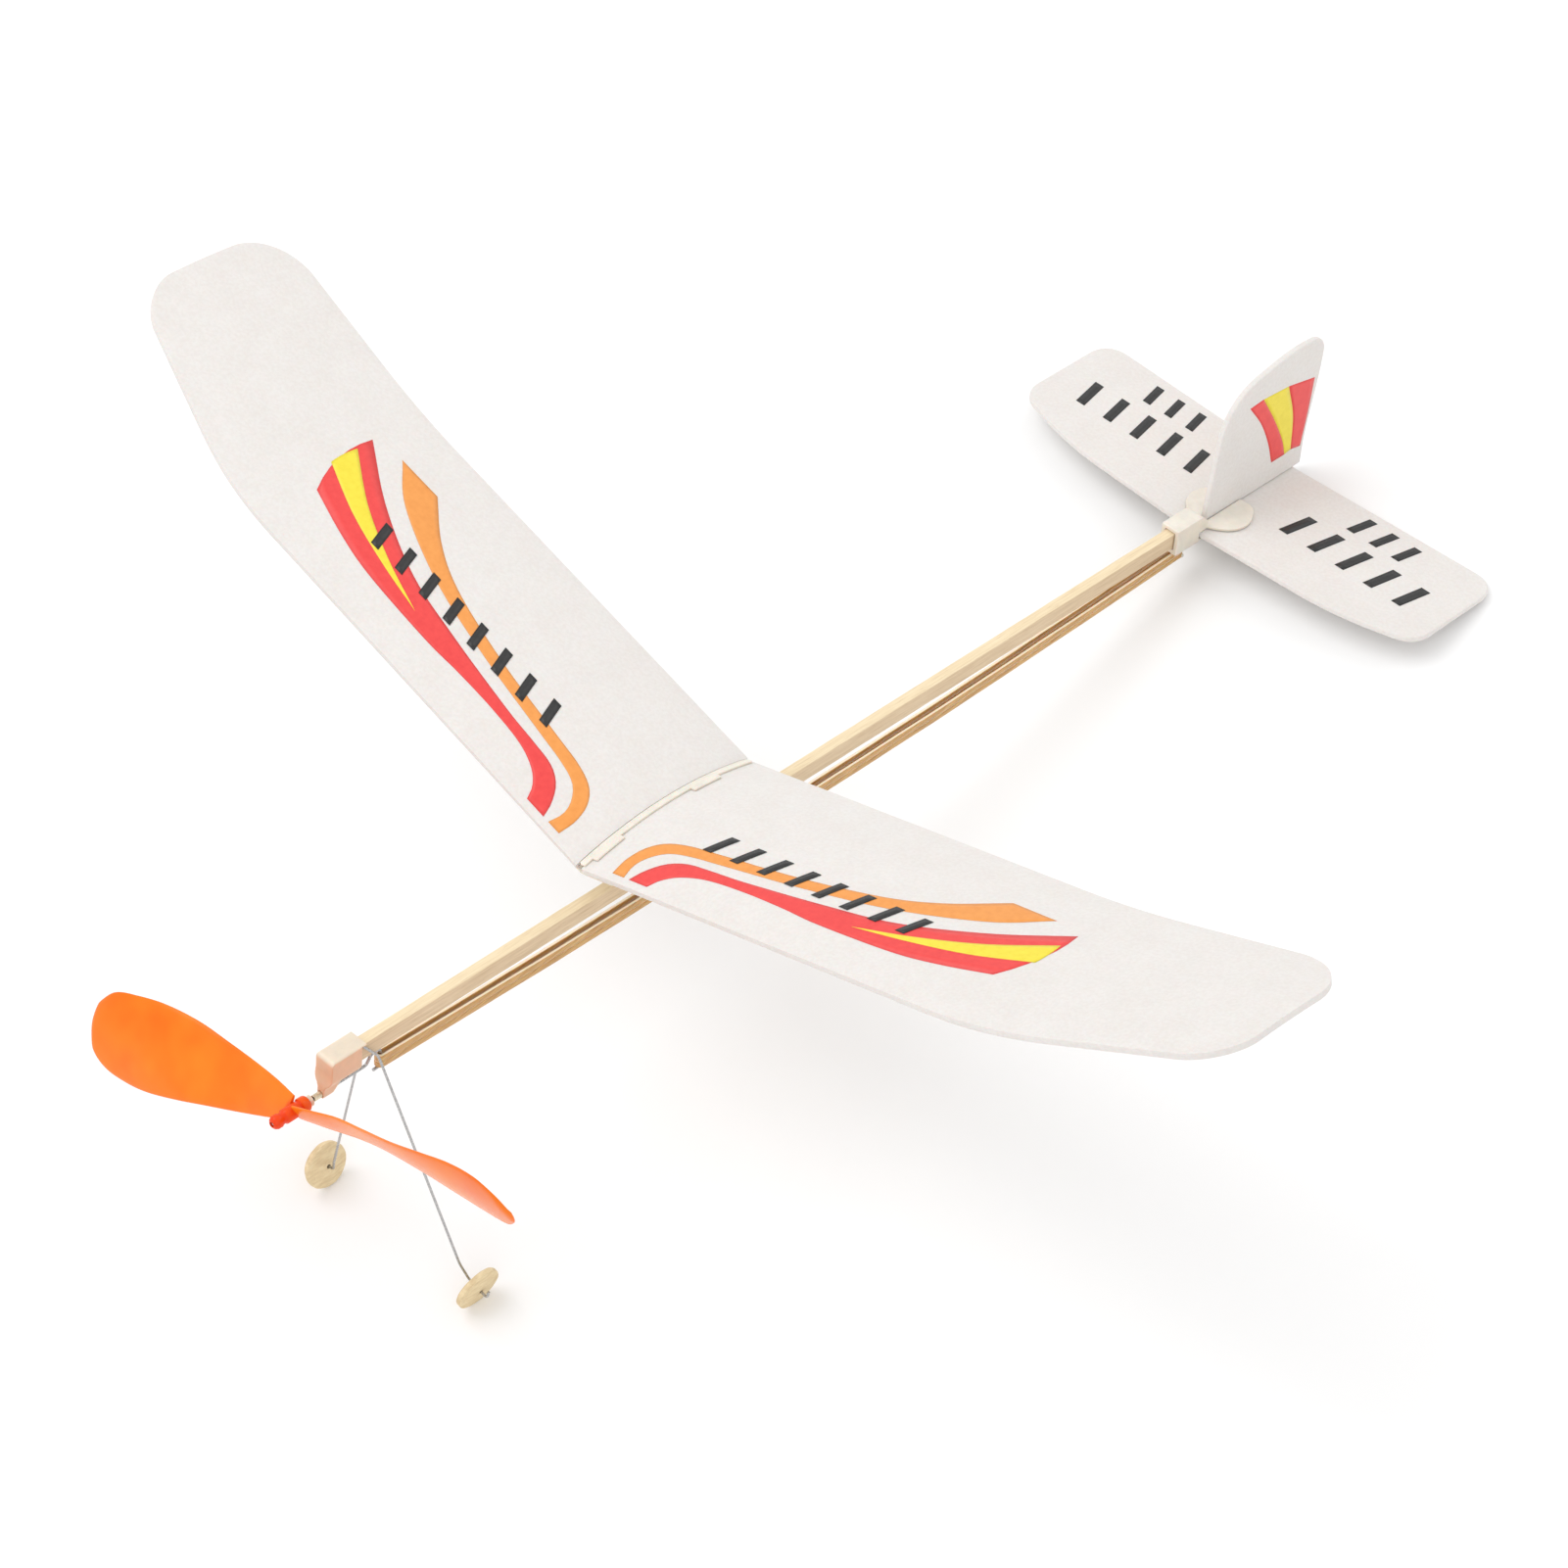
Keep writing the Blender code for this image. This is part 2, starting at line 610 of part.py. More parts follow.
def stabilizer(group, parent):
    """Flat foam tailplane, swept a little at its leading edge."""
    outline = both_sides(rounded(in_mm(STAB_OUTLINE), STAB_BENDS))
    add_object("stabilizer", plate_mesh(outline, STAB_TOP - FOAM, STAB_TOP, "Z"), "foam", group, parent)


def fin(group, parent):
    """Flat foam fin that stands in the slot between the lobes."""
    outline = rounded(in_mm(FIN_OUTLINE), FIN_BENDS)
    add_object("fin", plate_mesh(outline, -FOAM / 2, FOAM / 2, "X"), "foam", group, parent)


def wing_rib(group, cutters, parent):
    """Cambered centre rib with sloping flanges below the foam and a capping strip above it."""
    front, rear, steps = ROOT_LE + RIB_INSET, ROOT_TE - RIB_INSET, 10

    def follow(low, high, lift, start=front, end=rear):
        def place(along, across):
            x = low + along * (high - low)
            y = start + across * (end - start)
            return Vector((x, y, wing_height(abs(x), y) + lift))
        return place

    ys = [front + (rear - front) * step / steps for step in range(steps + 1)]
    crest = [Vector((y, wing_height(0.0, y) + GAP + STRIP_THICKNESS / 2)) for y in ys]
    foot = [Vector((SADDLE_REAR, RIB_FOOT_Z)), Vector((SADDLE_FRONT, RIB_FOOT_Z))]
    half = RIB_THICKNESS / 2
    rib = add_object("wing_rib", plate_mesh(crest + foot, -half, half, "X"), "ivory", group, parent)
    flange = hidden("rib_flange", sheet_mesh(6, steps, follow(-FLANGE_HALF, FLANGE_HALF, -FLANGE_DROP)),
                    cutters, parent)
    solidify(flange, FLANGE_THICKNESS, -1.0)
    combine(rib, flange, "UNION")
    strip = hidden("rib_strip", sheet_mesh(2, steps, follow(STRIP_INNER, STRIP_OUTER, GAP)), cutters, parent)
    solidify(strip, STRIP_THICKNESS, 1.0)
    combine(rib, strip, "UNION")
    for index, y in enumerate(TAB_YS):
        shape = follow(TAB_INNER, TAB_OUTER, TAB_LIFT, y - TAB_HALF, y + TAB_HALF)
        tab = hidden("rib_tab_%d" % index, sheet_mesh(2, 4, shape), cutters, parent)
        solidify(tab, TAB_THICKNESS, 1.0)
        combine(rib, tab, "UNION")


def wing_saddle(group, cutters, parent):
    """Clip that slides along the stick, with a groove on top for the rib's foot."""
    outer = SOCKET + SADDLE_WALL
    roof = GAP + SADDLE_WALL
    sole = -STICK_HEIGHT - GAP - 0.9 * MM
    lip = 1.0 * MM
    ridge = RIB_THICKNESS / 2 + GAP + 1.0 * MM
    body = [(outer, sole), (outer, roof), (ridge, roof), (ridge, SADDLE_CREST)]
    section = [Vector(point) for point in body] + [Vector((-x, z)) for x, z in reversed(body)]
    saddle = add_object("wing_saddle", plate_mesh(section, SADDLE_FRONT, SADDLE_REAR, "Y"), "ivory",
                        group, parent)
    low, high = SADDLE_FRONT / MM - PAST, SADDLE_REAR / MM + PAST
    floor = -STICK_HEIGHT / MM
    cut(saddle, stick_pocket(low, high), "DIFFERENCE", cutters)
    cut(saddle, box_mesh((-lip / MM, low, floor - PAST), (lip / MM, high, floor)), "DIFFERENCE", cutters)
    groove = (RIB_THICKNESS / 2 + GAP) / MM
    cut(saddle, box_mesh((-groove, low, roof / MM), (groove, high, roof / MM + PAST)), "DIFFERENCE", cutters)
    # the sides are cut away between two clip ends
    end = SADDLE_END / MM + PAST
    cut(saddle, box_mesh((-20.0, low + end, -20.0), (20.0, high - end, 0.2)), "DIFFERENCE", cutters)


def gear_path(side):
    """Half of the wheel wire: from the top of the stick down to the outside of the wheel."""
    axle = axle_direction(side)
    hub = Vector((side * WHEEL_CENTRE.x, WHEEL_CENTRE.y, WHEEL_CENTRE.z))
    across = SOCKET + GEAR_RADIUS
    inner = hub - axle * 3.6 * MM
    outer = hub + axle * 4.2 * MM
    return [Vector((side * across, GEAR_TOP_Y, GAP / 2 + GEAR_RADIUS)),
            Vector((side * (across + 0.8 * MM), GEAR_TOP_Y + 5.2 * MM, -STICK_HEIGHT)),
            inner + Vector((side * -2.2, -1.9, 6.0)) * MM,
            inner,
            outer,
            outer + Vector((0.0, 0.6, 2.1)) * MM]


def axle_direction(side):
    return Vector((side * math.cos(AXLE_DROOP), 0.0, -math.sin(AXLE_DROOP)))


def landing_gear(group, parent):
    """One spring-steel wire over the stick, down both legs and through the wheels."""
    path = rounded_path(list(reversed(gear_path(-1))) + gear_path(1), 1.3 * MM)
    add_object("landing_gear", wire_curve(path, GEAR_RADIUS), "steel", group, parent)


def wheel(name, side, group, parent):
    """A turned wooden disc, thicker at the hub, that spins on the wire."""
    bore = GEAR_RADIUS + 0.25 * MM
    rim, hub, radius, edge = WHEEL_RIM / 2, WHEEL_HUB / 2, WHEEL_RADIUS, 0.5 * MM
    profile = ((bore, hub), (radius * 0.28, hub), (radius - edge, rim), (radius, rim - edge),
               (radius, edge - rim), (radius - edge, -rim), (radius * 0.28, -hub), (bore, -hub))
    disc = turned(name, profile, "wheel_wood", group, parent, 32)
    disc.rotation_euler = axle_direction(side).to_track_quat("Z", "Y").to_euler()
    disc.location = Vector((side * WHEEL_CENTRE.x, WHEEL_CENTRE.y, WHEEL_CENTRE.z))


def world_corners(things):
    """World coordinates of every vertex that the pieces end up with."""
    bpy.context.view_layer.update()
    graph = bpy.context.evaluated_depsgraph_get()
    points = []
    for thing in things:
        mesh = bpy.data.meshes.new_from_object(thing.evaluated_get(graph))
        points += [thing.matrix_world @ vert.co for vert in mesh.vertices]
        bpy.data.meshes.remove(mesh)
    return points


def lowest(points):
    return min(points, key=lambda point: point.z)


def stand_on_ground(root, group):
    """Tips the plane onto its wheels and tailplane, with the origin under the middle of its box."""
    pieces = {thing.name: thing for thing in group.objects if thing.type != "EMPTY"}
    pitch = 0.0
    for _ in range(SETTLING_STEPS):
        wheel_foot = lowest(world_corners([pieces["wheel_left"]]))
        tail_foot = lowest(world_corners([pieces["stabilizer"]]))
        pitch += math.atan2(tail_foot.z - wheel_foot.z, tail_foot.y - wheel_foot.y)
        root.rotation_euler.x = -pitch
    points = world_corners(pieces.values())
    middle_y = (min(point.y for point in points) + max(point.y for point in points)) / 2
    root.location = (0.0, -middle_y, -lowest(points).z)


def build():
    clear_scene()
    parts = collection("rubber_band_plane")
    cutters = collection("cutters")
    root = bpy.data.objects.new("stick_frame", None)
    parts.objects.link(root)
    motor_stick(parts, root)
    nose_bearing(parts, cutters, root)
    shaft_sleeve("bearing_bush", BUSH_RADIUS, BUSH_FRONT, BUSH_REAR, "brass", parts, root)
    shaft_sleeve("thrust_washer", WASHER_RADIUS, HUB_REAR + GAP, -GAP, "ivory", parts, root)
    prop_shaft(parts, root)
    propeller(parts, cutters, root)
    rubber_band("rubber_band_upper", BAND_UPPER, parts, root)
    rubber_band("rubber_band_lower", BAND_LOWER, parts, root)
    tail_mount(parts, cutters, root)
    stabilizer(parts, root)
    fin(parts, root)
    wing_saddle(parts, cutters, root)
    wing_rib(parts, cutters, root)
    wing_panel("wing_left", 1, parts, root)
    wing_panel("wing_right", -1, parts, root)
    landing_gear(parts, root)
    wheel("wheel_left", 1, parts, root)
    wheel("wheel_right", -1, parts, root)
    stand_on_ground(root, parts)


build()
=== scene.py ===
"""The looks of a rubber band plane: foam wings with trim stripes, balsa stick, moulded fittings, wire
gear, wooden wheels, a glossy propeller and a rubber motor of two flat bands."""

import json
import math

import bmesh
import bpy
from mathutils import Matrix, Vector


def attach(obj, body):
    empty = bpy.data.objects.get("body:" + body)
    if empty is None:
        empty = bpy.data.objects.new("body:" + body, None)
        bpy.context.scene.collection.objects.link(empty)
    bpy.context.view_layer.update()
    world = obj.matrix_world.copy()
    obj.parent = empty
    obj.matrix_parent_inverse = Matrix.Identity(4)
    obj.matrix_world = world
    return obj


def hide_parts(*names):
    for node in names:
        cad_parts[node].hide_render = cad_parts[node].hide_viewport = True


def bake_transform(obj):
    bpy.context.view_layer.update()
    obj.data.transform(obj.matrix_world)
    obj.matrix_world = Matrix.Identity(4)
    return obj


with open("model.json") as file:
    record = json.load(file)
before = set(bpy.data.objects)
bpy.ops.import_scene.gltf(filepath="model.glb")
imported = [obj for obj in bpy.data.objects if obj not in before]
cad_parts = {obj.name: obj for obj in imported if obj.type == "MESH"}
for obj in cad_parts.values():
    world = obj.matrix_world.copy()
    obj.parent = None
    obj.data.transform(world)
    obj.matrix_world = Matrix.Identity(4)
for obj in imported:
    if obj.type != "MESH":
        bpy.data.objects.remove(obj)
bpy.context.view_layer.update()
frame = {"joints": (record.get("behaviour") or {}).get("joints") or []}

MM = 0.001


# ---------------------------------------------------------------- the stick's own frame
# Pieces are laid out in the motor stick's frame, in mm: x to the pilot's left, y aft from the front of
# the shaft bearing, z up from the stick's top face.

SHAFT_Z = -11.3
spin = next(joint for joint in frame["joints"] if joint["name"] == "prop_spin")
PITCH = math.asin(spin["axis"][2])
TURN = Matrix.Rotation(-PITCH, 4, "X")
STICK = Matrix.Translation(Vector(spin["pos_m"]) - TURN @ Vector((0, 0, SHAFT_Z * MM))) @ TURN


# ---------------------------------------------------------------- sizes, in mm

FOAM = 2.0
HALF_SPAN = 215.0
ROOT_X = 1.05
ROOT_LE = 101.0
ROOT_TE = 170.8
KINK_X = 144.0
KINK_BLEND = 18.0
LE_KINK_X = 152.0
LE_SWEEP = 0.315
TE_SWEEP = 0.075
LE_CORNER = 13.0
TE_CORNER = 18.0
ROOT_Z = 12.6
INNER_DIHEDRAL = 0.305
OUTER_DIHEDRAL = 0.372
ROOT_CAMBER = 5.4
TIP_CAMBER = 1.6
TIP_WASH = 3.0

STICK_FRONT = 6.7
STICK_REAR = 370.5
STICK_WIDTH = 3.6
STICK_HEIGHT = 6.0
GAP = 0.3
SOCKET = STICK_WIDTH / 2 + GAP
WALL = 1.4

HOOK_FRONT = 25.5
HOOK_REAR = 366.0
STAB_TOP = -4.6
FOAM_EDGE = 0.45
HUB_GLOW = 5.0
WHEEL_CENTRE = (32.7, 35.7, -87.8)
AXLE_DROOP = math.radians(13.0)


# ---------------------------------------------------------------- mesh helpers

def smooth_through(points, steps):
    """A smooth curve through a few points (each a tuple of numbers), with `steps` pieces a span."""
    rows = [Vector(point) for point in points]
    out = []
    for index in range(len(rows) - 1):
        start, end = rows[index], rows[index + 1]
        before = rows[index - 1] if index else start * 2 - end
        after = rows[index + 2] if index + 2 < len(rows) else end * 2 - start
        for step in range(steps):
            t = step / steps
            out.append(0.5 * (2 * start + (end - before) * t
                              + (2 * before - 5 * start + 4 * end - after) * t**2
                              + (3 * start - before - 3 * end + after) * t**3))
    out.append(rows[-1])
    return out


def resample(points, count):
    """The same path as `count` points evenly spread along it."""
    lengths = [0.0]
    for start, end in zip(points, points[1:]):
        lengths.append(lengths[-1] + (end - start).length)
    out, index = [], 0
    for step in range(count):
        want = lengths[-1] * step / (count - 1)
        while index < len(points) - 2 and lengths[index + 1] < want:
            index += 1
        span = lengths[index + 1] - lengths[index] or 1.0
        out.append(points[index].lerp(points[index + 1], (want - lengths[index]) / span))
    return out


def new_mesh(work, shade=40.0):
    """A mesh in metres from a bmesh in mm, smooth but for edges sharper than `shade` degrees."""
    bmesh.ops.scale(work, vec=(MM, MM, MM), verts=work.verts)
    bmesh.ops.recalc_face_normals(work, faces=work.faces)
    mesh = bpy.data.meshes.new("mesh")
    work.to_mesh(mesh)
    work.free()
    mesh.shade_smooth()
    mesh.set_sharp_from_angle(angle=math.radians(shade))
    return mesh


def sheet(columns, rows, place, up=True):
    """An open sheet: a grid whose points go where `place` puts them, given 0 to 1 along and across."""
    work = bmesh.new()
    bmesh.ops.create_grid(work, x_segments=columns, y_segments=rows, size=0.5)
    for vert in work.verts:
        vert.co = place(vert.co.x + 0.5, vert.co.y + 0.5)
    mesh = new_mesh(work)
    if (mesh.polygons[0].normal.z < 0) == up:
        mesh.flip_normals()
    return mesh


def loft(rings, closed=False, caps=True, shade=40.0):
    """A skin over rings of points; the last ring joins the first when it is closed."""
    work = bmesh.new()
    loops = [[work.verts.new(point) for point in ring] for ring in rings]
    spans = list(zip(loops, loops[1:] + loops[:1])) if closed else list(zip(loops, loops[1:]))
    for here, there in spans:
        for index in range(len(here)):
            after = (index + 1) % len(here)
            work.faces.new((here[index], here[after], there[after], there[index]))
    if caps and not closed:
        work.faces.new(loops[0])
        work.faces.new(loops[-1])
    return new_mesh(work, shade)


def sweep(path, section, closed=False, up=Vector((0, 0, 1)), shade=40.0):
    """A section of (across, up) points carried along a path without twisting about it."""
    rings = []
    count = len(path)
    side = None
    for index, point in enumerate(path):
        before = path[index - 1] if index or closed else point
        after = path[(index + 1) % count] if index + 1 < count or closed else point
        along = (after - before).normalized()
        if side is None:
            side = along.cross(up).normalized()
        side = (side - along * side.dot(along)).normalized()
        rise = side.cross(along)
        rings.append([point + side * a + rise * b for a, b in section])
    return loft(rings, closed, shade=shade)


def circle(radius, sides=20):
    """A round section as (across, up) points."""
    return [(radius * math.cos(math.tau * index / sides), radius * math.sin(math.tau * index / sides))
            for index in range(sides)]


def rounded_box_section(half_width, half_height, corner, steps=3):
    """A rectangle with rounded corners as (across, up) points."""
    points = []
    for quarter in range(4):
        cx = (half_width - corner) * (1 if quarter in (0, 3) else -1)
        cy = (half_height - corner) * (1 if quarter in (0, 1) else -1)
        for step in range(steps + 1):
            angle = math.pi / 2 * (quarter + step / steps)
            points.append((cx + corner * math.cos(angle), cy + corner * math.sin(angle)))
    return points


def lathe(profile, sides=64):
    """Turns a closed profile of (radius, height) about Z."""
    rings = []
    for index in range(sides):
        angle = math.tau * index / sides
        rings.append([Vector((r * math.cos(angle), r * math.sin(angle), z)) for r, z in profile])
    return loft(rings, closed=True, shade=30.0)


def bend(before, corner, after, steps, weight=0.85):
    """A round bend from one point to another, drawn towards the corner between them."""
    points = []
    for step in range(steps + 1):
        t = step / steps
        total = (1 - t) ** 2 + 2 * weight * t * (1 - t) + t**2
        points.append(((1 - t) ** 2 * before + 2 * weight * t * (1 - t) * corner + t**2 * after) / total)
    return points


def rounded(points, radii, steps=10):
    """A closed 2D outline whose corners become bends, each starting `radius` before its corner."""
    points = [Vector(point) for point in points]
    out = []
    for index, radius in enumerate(radii):
        corner = points[index]
        back = points[index - 1] - corner
        ahead = points[(index + 1) % len(points)] - corner
        reach = min(radius, back.length * 0.49, ahead.length * 0.49)
        if reach > 0:
            out += bend(corner + back.normalized() * reach, corner,
                        corner + ahead.normalized() * reach, steps)
        else:
            out.append(corner)
    return out


def rounded_path(points, radius, steps=8):
    """An open path whose corners become bends, each starting `radius` before its corner."""
    points = [Vector(point) for point in points]
    out = [points[0]]
    for before, corner, after in zip(points, points[1:], points[2:]):
        reach = min(radius, (before - corner).length * 0.45, (after - corner).length * 0.45)
        out += bend(corner + (before - corner).normalized() * reach, corner,
                    corner + (after - corner).normalized() * reach, steps)
    out.append(points[-1])
    return out


def slab(outline, low, high, across="Z"):
    """A flat outline given thickness along an axis; across X its points are (y, z), across Y (x, z)."""
    work = bmesh.new()
    verts = [work.verts.new((point[0], point[1], 0.0)) for point in outline]
    face = work.faces.new(verts)
    if face.normal.z < 0:
        bmesh.ops.reverse_faces(work, faces=[face])
    extruded = bmesh.ops.extrude_face_region(work, geom=[face])["geom"]
    for vert in extruded:
        if isinstance(vert, bmesh.types.BMVert):
            vert.co.z = 1.0
    for vert in work.verts:
        a, b, c = vert.co
        c = low + c * (high - low)
        vert.co = {"Z": (a, b, c), "X": (c, a, b), "Y": (a, c, b)}[across]
    return new_mesh(work, 35.0)


def block(low, high):
    """A box between two opposite corners."""
    work = bmesh.new()
    bmesh.ops.create_cube(work, size=1.0)
    low, high = Vector(low), Vector(high)
    bmesh.ops.scale(work, vec=high - low, verts=work.verts)
    bmesh.ops.translate(work, vec=(low + high) / 2, verts=work.verts)
    return new_mesh(work)


def stick_pocket(front, rear):
    """The room that the stick takes up in a fitting, with clearance all round."""
    return block((-SOCKET, front, -STICK_HEIGHT - GAP), (SOCKET, rear, GAP))


def both_sides(half):
    """A whole outline from its left half, whose ends lie on the middle line."""
    return half + [Vector((-point.x, point.y)) for point in reversed(half[1:-1])]


# ---------------------------------------------------------------- objects

def piece(name, mesh, body, look, slot, *replaced, at=None):
    """A piece in the stick's frame, or at its own matrix, riding on a body."""
    thing = bpy.data.objects.new(name, mesh)
    bpy.context.scene.collection.objects.link(thing)
    thing.matrix_world = STICK if at is None else at
    mesh.materials.append(look)
    if body:
        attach(thing, body)
    if replaced:
        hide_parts(*replaced)
    return thing


def modify(thing, kind, **values):
    """Adds a modifier of a kind, with the given settings."""
    modifier = thing.modifiers.new(kind.lower(), kind)
    for key, value in values.items():
        setattr(modifier, key, value)
    return modifier


def soften(thing, width, segments=3, angle=40.0):
    """Rounds the edges that are sharper than `angle` degrees."""
    modify(thing, "BEVEL", width=width * MM, segments=segments, limit_method="ANGLE",
           angle_limit=math.radians(angle), use_clamp_overlap=True)


def thicken(thing, thickness, offset):
    """Gives a sheet thickness: below it at offset -1, above it at offset 1."""
    modify(thing, "SOLIDIFY", thickness=thickness * MM, offset=offset, use_even_offset=True)


def fused(parts, holes=(), voxel=0.0, smoothing=0, cut="DIFFERENCE"):
    """One mesh from several: joined, cut, then remeshed and smoothed if asked, like a moulding."""
    base = bpy.data.objects.new("base", parts[0])
    bpy.context.scene.collection.objects.link(base)
    helpers = []
    for mesh, operation in [(mesh, "UNION") for mesh in parts[1:]] + [(mesh, cut) for mesh in holes]:
        helper = bpy.data.objects.new("helper", mesh)
        bpy.context.scene.collection.objects.link(helper)
        helpers.append(helper)
        modify(base, "BOOLEAN", operation=operation, object=helper, solver="EXACT")
    if voxel:
        modify(base, "REMESH", mode="VOXEL", voxel_size=voxel * MM, use_smooth_shade=True)
    if smoothing:
        modify(base, "SMOOTH", factor=0.5, iterations=smoothing)
    bpy.context.view_layer.update()
    graph = bpy.context.evaluated_depsgraph_get()
    mesh = bpy.data.meshes.new_from_object(base.evaluated_get(graph))
    for thing in helpers + [base]:
        data = thing.data
        bpy.data.objects.remove(thing, do_unlink=True)
        if data.users == 0:
            bpy.data.meshes.remove(data)
    mesh.materials.clear()
    mesh.shade_smooth()
    return mesh


# ---------------------------------------------------------------- materials

class Look:
    """A node material with short names for what its surface is made of."""

    def __init__(self, name, colour, roughness, **sockets):
        self.material = bpy.data.materials.new(name)
        self.material.use_nodes = True
        self.tree = self.material.node_tree
        self.shader = self.tree.nodes["Principled BSDF"]
        self.shader.inputs["Base Color"].default_value = (*colour, 1.0)
        self.shader.inputs["Roughness"].default_value = roughness
        for socket, value in sockets.items():
            self.shader.inputs[socket.replace("_", " ")].default_value = value
        self.material.diffuse_color = (*colour, 1.0)

    def node(self, kind, **values):
        """A new node; each value sets its property of that name, or else its socket."""
        made = self.tree.nodes.new(kind)
        for key, value in values.items():
            if hasattr(made, key):
                setattr(made, key, value)
            else:
                made.inputs[key.replace("_", " ")].default_value = value
        return made

    def link(self, source, target):
        self.tree.links.new(source, target)

    def coords(self, scale, shift=(0, 0, 0)):
        """Object coordinates in mm, stretched by a scale on each axis and then shifted."""
        place = self.node("ShaderNodeTexCoord")
        mapping = self.node("ShaderNodeMapping")
        mapping.inputs["Location"].default_value = shift
        mapping.inputs["Scale"].default_value = [1000.0 * value for value in scale]
        self.link(place.outputs["Object"], mapping.inputs["Vector"])
        return mapping.outputs["Vector"]

    def noise(self, scale, stretch=(1, 1, 1), detail=4.0, roughness=0.55):
        """Cloudy noise, about `scale` features a millimetre, stretched where `stretch` is small."""
        made = self.node("ShaderNodeTexNoise", Scale=scale, Detail=detail, Roughness=roughness)
        self.link(self.coords(stretch), made.inputs["Vector"])
        return made.outputs["Fac"]

    def cells(self, scale):
        """Soft round cells, like the beads in foam."""
        made = self.node("ShaderNodeTexVoronoi", feature="SMOOTH_F1", Scale=scale)
        self.link(self.coords((1, 1, 1)), made.inputs["Vector"])
        return made.outputs["Distance"]

    def ramp(self, source, *stops):
        """Turns a value into a colour by stops of (position, colour)."""
        made = self.node("ShaderNodeValToRGB")
        band = made.color_ramp
        while len(band.elements) > len(stops):
            band.elements.remove(band.elements[-1])
        while len(band.elements) < len(stops):
            band.elements.new(0.5)
        for element, (position, colour) in zip(band.elements, stops):
            element.position = position
            element.color = (*colour, 1.0) if len(colour) == 3 else colour
        self.link(source, made.inputs["Fac"])
        return made.outputs["Color"]

    def mix(self, share, first, second, blend="MIX"):
        """Mixes two colours; the share and the colours are constants or sockets."""
        made = self.node("ShaderNodeMix", data_type="RGBA", blend_type=blend)
        for index, value in ((0, share), (6, first), (7, second)):
            if isinstance(value, bpy.types.NodeSocket):
                self.link(value, made.inputs[index])
            else:
                made.inputs[index].default_value = value if index == 0 else (*value, 1.0)
        return made.outputs[2]

    def painted_light_by_facing(self, low, high):
        """A mask for painted light and shade: white on faces that look up, black on faces that look sideways.
        """
        split = self.node("ShaderNodeSeparateXYZ")
        self.link(self.node("ShaderNodeNewGeometry").outputs["Normal"], split.inputs["Vector"])
        return self.ramp(split.outputs["Z"], (low, grey(0.0)), (high, grey(1.0)))

    def colour(self, source):
        """Takes the surface's colour from a socket."""
        self.link(source, self.shader.inputs["Base Color"])

    def rough(self, source, low, high):
        """Lets a value from 0 to 1 move the roughness between low and high."""
        made = self.node("ShaderNodeMapRange")
        made.inputs["To Min"].default_value = low
        made.inputs["To Max"].default_value = high
        self.link(source, made.inputs["Value"])
        self.link(made.outputs["Result"], self.shader.inputs["Roughness"])

    def bump(self, source, strength, distance=0.1):
        """Adds a bump of `distance` mm on top of those already there."""
        made = self.node("ShaderNodeBump", Strength=strength, Distance=distance * MM)
        self.link(source, made.inputs["Height"])
        previous = self.shader.inputs["Normal"]
        if previous.is_linked:
            self.link(previous.links[0].from_socket, made.inputs["Normal"])
        self.link(made.outputs["Normal"], previous)


def grey(value):
    """A neutral colour."""
    return (value, value, value)


BEAD_SCALE = 0.55


def foam_look():
    """White foam board with a faint mottle, fine specks and a beady surface."""
    look = Look("foam", (0.74, 0.71, 0.68), 0.62, Subsurface_Weight=0.10, Subsurface_Scale=0.001)
    mottle = look.noise(0.10, detail=3.0)
    base = look.ramp(mottle, (0.3, (0.722, 0.684, 0.650)), (0.7, (0.752, 0.722, 0.694)))
    speck = look.noise(0.9, detail=2.0)
    specks = look.ramp(speck, (0.35, (0.68, 0.64, 0.61)), (0.65, (0.78, 0.76, 0.74)))
    look.colour(look.mix(0.35, base, specks))
    look.bump(look.cells(BEAD_SCALE), 0.25, 0.10)
    look.bump(look.noise(0.07, detail=2.0), 0.25, 0.5)
    look.rough(speck, 0.52, 0.72)
    return look.material


def print_look(name, dark, light):
    """Thin printed film on foam: flat colour with a faint mottle and a soft sheen."""
    look = Look(name, light, 0.42)
    look.colour(look.ramp(look.noise(0.5, detail=3.0), (0.3, dark), (0.7, light)))
    look.bump(look.cells(BEAD_SCALE), 0.15, 0.08)
    return look.material


def balsa_look():
    """Pale straight-grained wood, with painted shade darkening its sides and painted light paling its top."""
    look = Look("balsa", (0.84, 0.64, 0.40), 0.62)
    grain = look.noise(1.6, stretch=(1, 0.035, 1), detail=6.0, roughness=0.65)
    # side is the grain under painted shade, for the stick's sides; top is the grain under painted light, for
    # its top face.
    side = look.ramp(grain, (0.25, (0.54, 0.39, 0.23)), (0.5, (0.67, 0.51, 0.33)), (0.75, (0.77, 0.62, 0.43)))
    top = look.ramp(grain, (0.25, (0.72, 0.56, 0.35)), (0.5, (0.82, 0.67, 0.44)), (0.75, (0.88, 0.75, 0.53)))
    pores = look.noise(5.0, stretch=(1, 0.02, 1), detail=3.0)
    dark = look.ramp(pores, (0.28, (0.52, 0.35, 0.19)), (0.42, (1.0, 1.0, 1.0)))
    # Painted shade goes on sideways faces and painted light on upward faces.
    look.colour(look.mix(0.55, look.mix(look.painted_light_by_facing(0.3, 0.8), side, top), dark, "MULTIPLY"))
    look.bump(grain, 0.3, 0.08)
    look.rough(grain, 0.5, 0.75)
    return look.material


